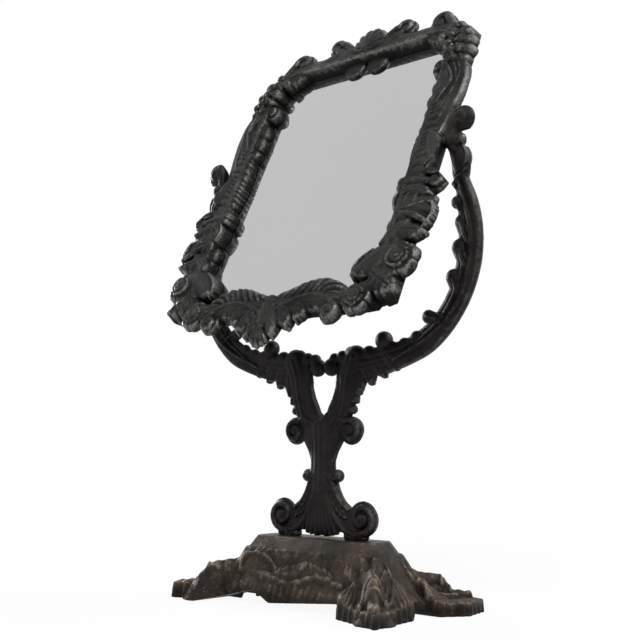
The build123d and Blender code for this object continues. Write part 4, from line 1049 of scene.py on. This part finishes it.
# %% [markdown]
# The eight screws that hold the back plate are alike, so one screw is built from
# nodes and set on eight points: half of a flattened ball, on a shank. Each is
# turned by an angle of its own, drawn from a fixed seed. The places come from
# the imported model: beside the pocket's edge, in pairs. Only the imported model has
# the slots in their heads.

# %% Back plate screws: one screw in nodes, set on eight points
SCREW_SIZES = {"Head Radius": 2.7, "Head Height": 1.35, "Shank Radius": 1.45, "Shank Length": 5.9}
SCREW_SPOTS = ((SIGHT_SIDE + 9, 45), (SIGHT_SIDE + 9, -50), (52, SIGHT_TOP + 9), (52, SIGHT_LOW - 9))
SCREW_FACE = RAIL_BACK - 1.0             # the back of the back plate

screw_nodes = bpy.data.node_groups.new("round_headed_screws", "GeometryNodeTree")
sockets = screw_nodes.interface
sockets.new_socket("Geometry", in_out="INPUT", socket_type="NodeSocketGeometry")
sockets.new_socket("Geometry", in_out="OUTPUT", socket_type="NodeSocketGeometry")
inputs_of = {}
for label in SCREW_SIZES:
    inputs_of[label] = sockets.new_socket(label, in_out="INPUT", socket_type="NodeSocketFloat")
inputs_of["Seed"] = sockets.new_socket("Seed", in_out="INPUT", socket_type="NodeSocketInt")

screw = Tree(screw_nodes)
given = screw_nodes.nodes.new("NodeGroupInput")
size = {label: Wire(screw, given.outputs[label]) for label in inputs_of}
spots = Wire(screw, given.outputs["Geometry"])


def triple(x, y, z):
    """Three numbers as one vector"""
    return screw.node("ShaderNodeCombineXYZ", {}, {"X": x, "Y": y, "Z": z})


def moved(shape, spot):
    """A shape shifted to a spot"""
    return screw.node("GeometryNodeTransform", {}, {"Geometry": shape, "Translation": spot})


ball = screw.node("GeometryNodeMeshUVSphere", {}, {"Segments": 40, "Rings": 24, "Radius": 1.0})
scaled = triple(size["Head Radius"], size["Head Radius"], size["Head Height"])
ball = screw.node("GeometryNodeTransform", {}, {"Geometry": ball, "Scale": scaled})
wide = size["Head Radius"] * 3.0
front_box = screw.node("GeometryNodeMeshCube", {}, {"Size": triple(wide, wide, wide)})
front_box = moved(front_box, triple(0.0, 0.0, wide * 0.5))
shapes = {"Mesh 1": ball, "Mesh 2": front_box}
head = screw.node("GeometryNodeMeshBoolean", {"operation": "DIFFERENCE"}, shapes)
shank_sizes = {"Vertices": 24, "Radius": size["Shank Radius"], "Depth": size["Shank Length"]}
shank = screw.node("GeometryNodeMeshCylinder", {}, shank_sizes)
shank = moved(shank, triple(0.0, 0.0, size["Shank Length"] * 0.5))
both = screw_nodes.nodes.new("GeometryNodeJoinGeometry")
for part in (head, shank):
    screw_nodes.links.new(part.socket, both.inputs["Geometry"])
half_turn = {"Min": 0.0, "Max": math.pi, "Seed": size["Seed"]}
turned = screw.node("FunctionNodeRandomValue", {"data_type": "FLOAT"}, half_turn, "Value")
placing = {"Points": spots, "Instance": Wire(screw, both.outputs["Geometry"])}
placing["Rotation"] = triple(0.0, 0.0, turned)
placed = screw.node("GeometryNodeInstanceOnPoints", {}, placing)
real = screw.node("GeometryNodeRealizeInstances", {}, {"Geometry": placed})
coated = screw.node("GeometryNodeSetMaterial", {}, {"Geometry": real, "Material": dark_steel})
result = screw_nodes.nodes.new("NodeGroupOutput")
screw_nodes.links.new(coated.socket, result.inputs["Geometry"])

points = [(side * a * MM, b * MM, SCREW_FACE * MM) for a, b in SCREW_SPOTS for side in (-1, 1)]
point_mesh = bpy.data.meshes.new("screw_spots")
point_mesh.from_pydata(points, [], [])
screws = bpy.data.objects.new("slotted_screws", point_mesh)
bpy.context.scene.collection.objects.link(screws)
maker = screws.modifiers.new("screws", "NODES")
maker.node_group = screw_nodes
for label, value in SCREW_SIZES.items():
    maker[inputs_of[label].identifier] = value * MM
maker[inputs_of["Seed"].identifier] = 7
screws.data = bpy.data.meshes.new_from_object(screws.evaluated_get(bpy.context.evaluated_depsgraph_get()))
screws.modifiers.remove(maker)
screws.data.transform(lean)
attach(screws, "mirror")
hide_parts("back_plate_screws")
print("back plate screws", len(screws.data.polygons), "faces")

# %% [markdown]
# The photograph was lit softly from above and cut out on white. Three square
# lamps stand clear of what the glass mirrors to the camera, and the sky and the
# floor look white to the camera and to the glass, while they light the iron less.

# %% Lamps
def softbox(name, spot, size, power):
    """Square lamp that faces the middle of the object"""
    lamp = bpy.data.lights.new(name, "AREA")
    lamp.size = size
    lamp.energy = power
    holder = bpy.data.objects.new(name, lamp)
    bpy.context.scene.collection.objects.link(holder)
    holder.location = Vector(spot)
    holder.rotation_euler = (holder.location - VIEW_TARGET).to_track_quat("Z", "Y").to_euler()


softbox("window_light", (0.9, -1.6, 2.0), 0.7, 46.0)
softbox("side_light", (-2.0, 0.5, 0.7), 0.6, 26.0)
softbox("back_light", (1.4, 1.2, 1.6), 0.7, 24.0)

# %% Sky
SKY_LIGHT = 0.18

studio = bpy.data.worlds.new("studio")
studio.use_nodes = True
bpy.context.scene.world = studio
sky = Tree(studio.node_tree)


def looked_at(tree):
    """1 for rays from the camera or by way of a mirror, else 0"""
    paths = tree.node("ShaderNodeLightPath", {}, {}, "Is Camera Ray")
    mirrored = Wire(tree, paths.socket.node.outputs["Is Glossy Ray"])
    return tree.node("ShaderNodeMath", {"operation": "MAXIMUM"}, {0: paths, 1: mirrored})


sky.link(looked_at(sky) * (1.0 - SKY_LIGHT) + SKY_LIGHT, "Background", "Strength")
sky.tree.nodes["Background"].inputs["Color"].default_value = (1, 1, 1, 1)

# %% Floor
FLOOR_HALF = 6.0
FLOOR_GLOW = (0.93, 1.0)                # beside the object, and far off
SHADOW_REACH = (0.25, 1.1)              # metres from the object between those two

floor_mesh = bpy.data.meshes.new("floor")
corners = [(-FLOOR_HALF, -FLOOR_HALF, 0), (FLOOR_HALF, -FLOOR_HALF, 0)]
corners += [(FLOOR_HALF, FLOOR_HALF, 0), (-FLOOR_HALF, FLOOR_HALF, 0)]
floor_mesh.from_pydata(corners, [], [(0, 1, 2, 3)])
floor = bpy.data.objects.new("floor", floor_mesh)
bpy.context.scene.collection.objects.link(floor)
paper = Finish("paper", roughness=0.9, specular_ior_level=0.0, base_color=(0.86, 0.86, 0.86, 1))
glow = paper.node("ShaderNodeEmission", {}, {})
matt = Wire(paper, paper.shader.outputs[0])
away = paper.node("ShaderNodeVectorMath", {"operation": "LENGTH"}, {0: paper.place}, "Value")
share = away.within(*SHADOW_REACH) * (FLOOR_GLOW[1] - FLOOR_GLOW[0]) + FLOOR_GLOW[0]
seen = paper.node("ShaderNodeMixShader", {}, {0: looked_at(paper) * share, 1: matt, 2: glow})
paper.link(seen, "Material Output", "Surface")
floor_mesh.materials.append(paper.material)

# %% [markdown]

# %% View transform
bpy.context.scene.view_settings.view_transform = "Standard"
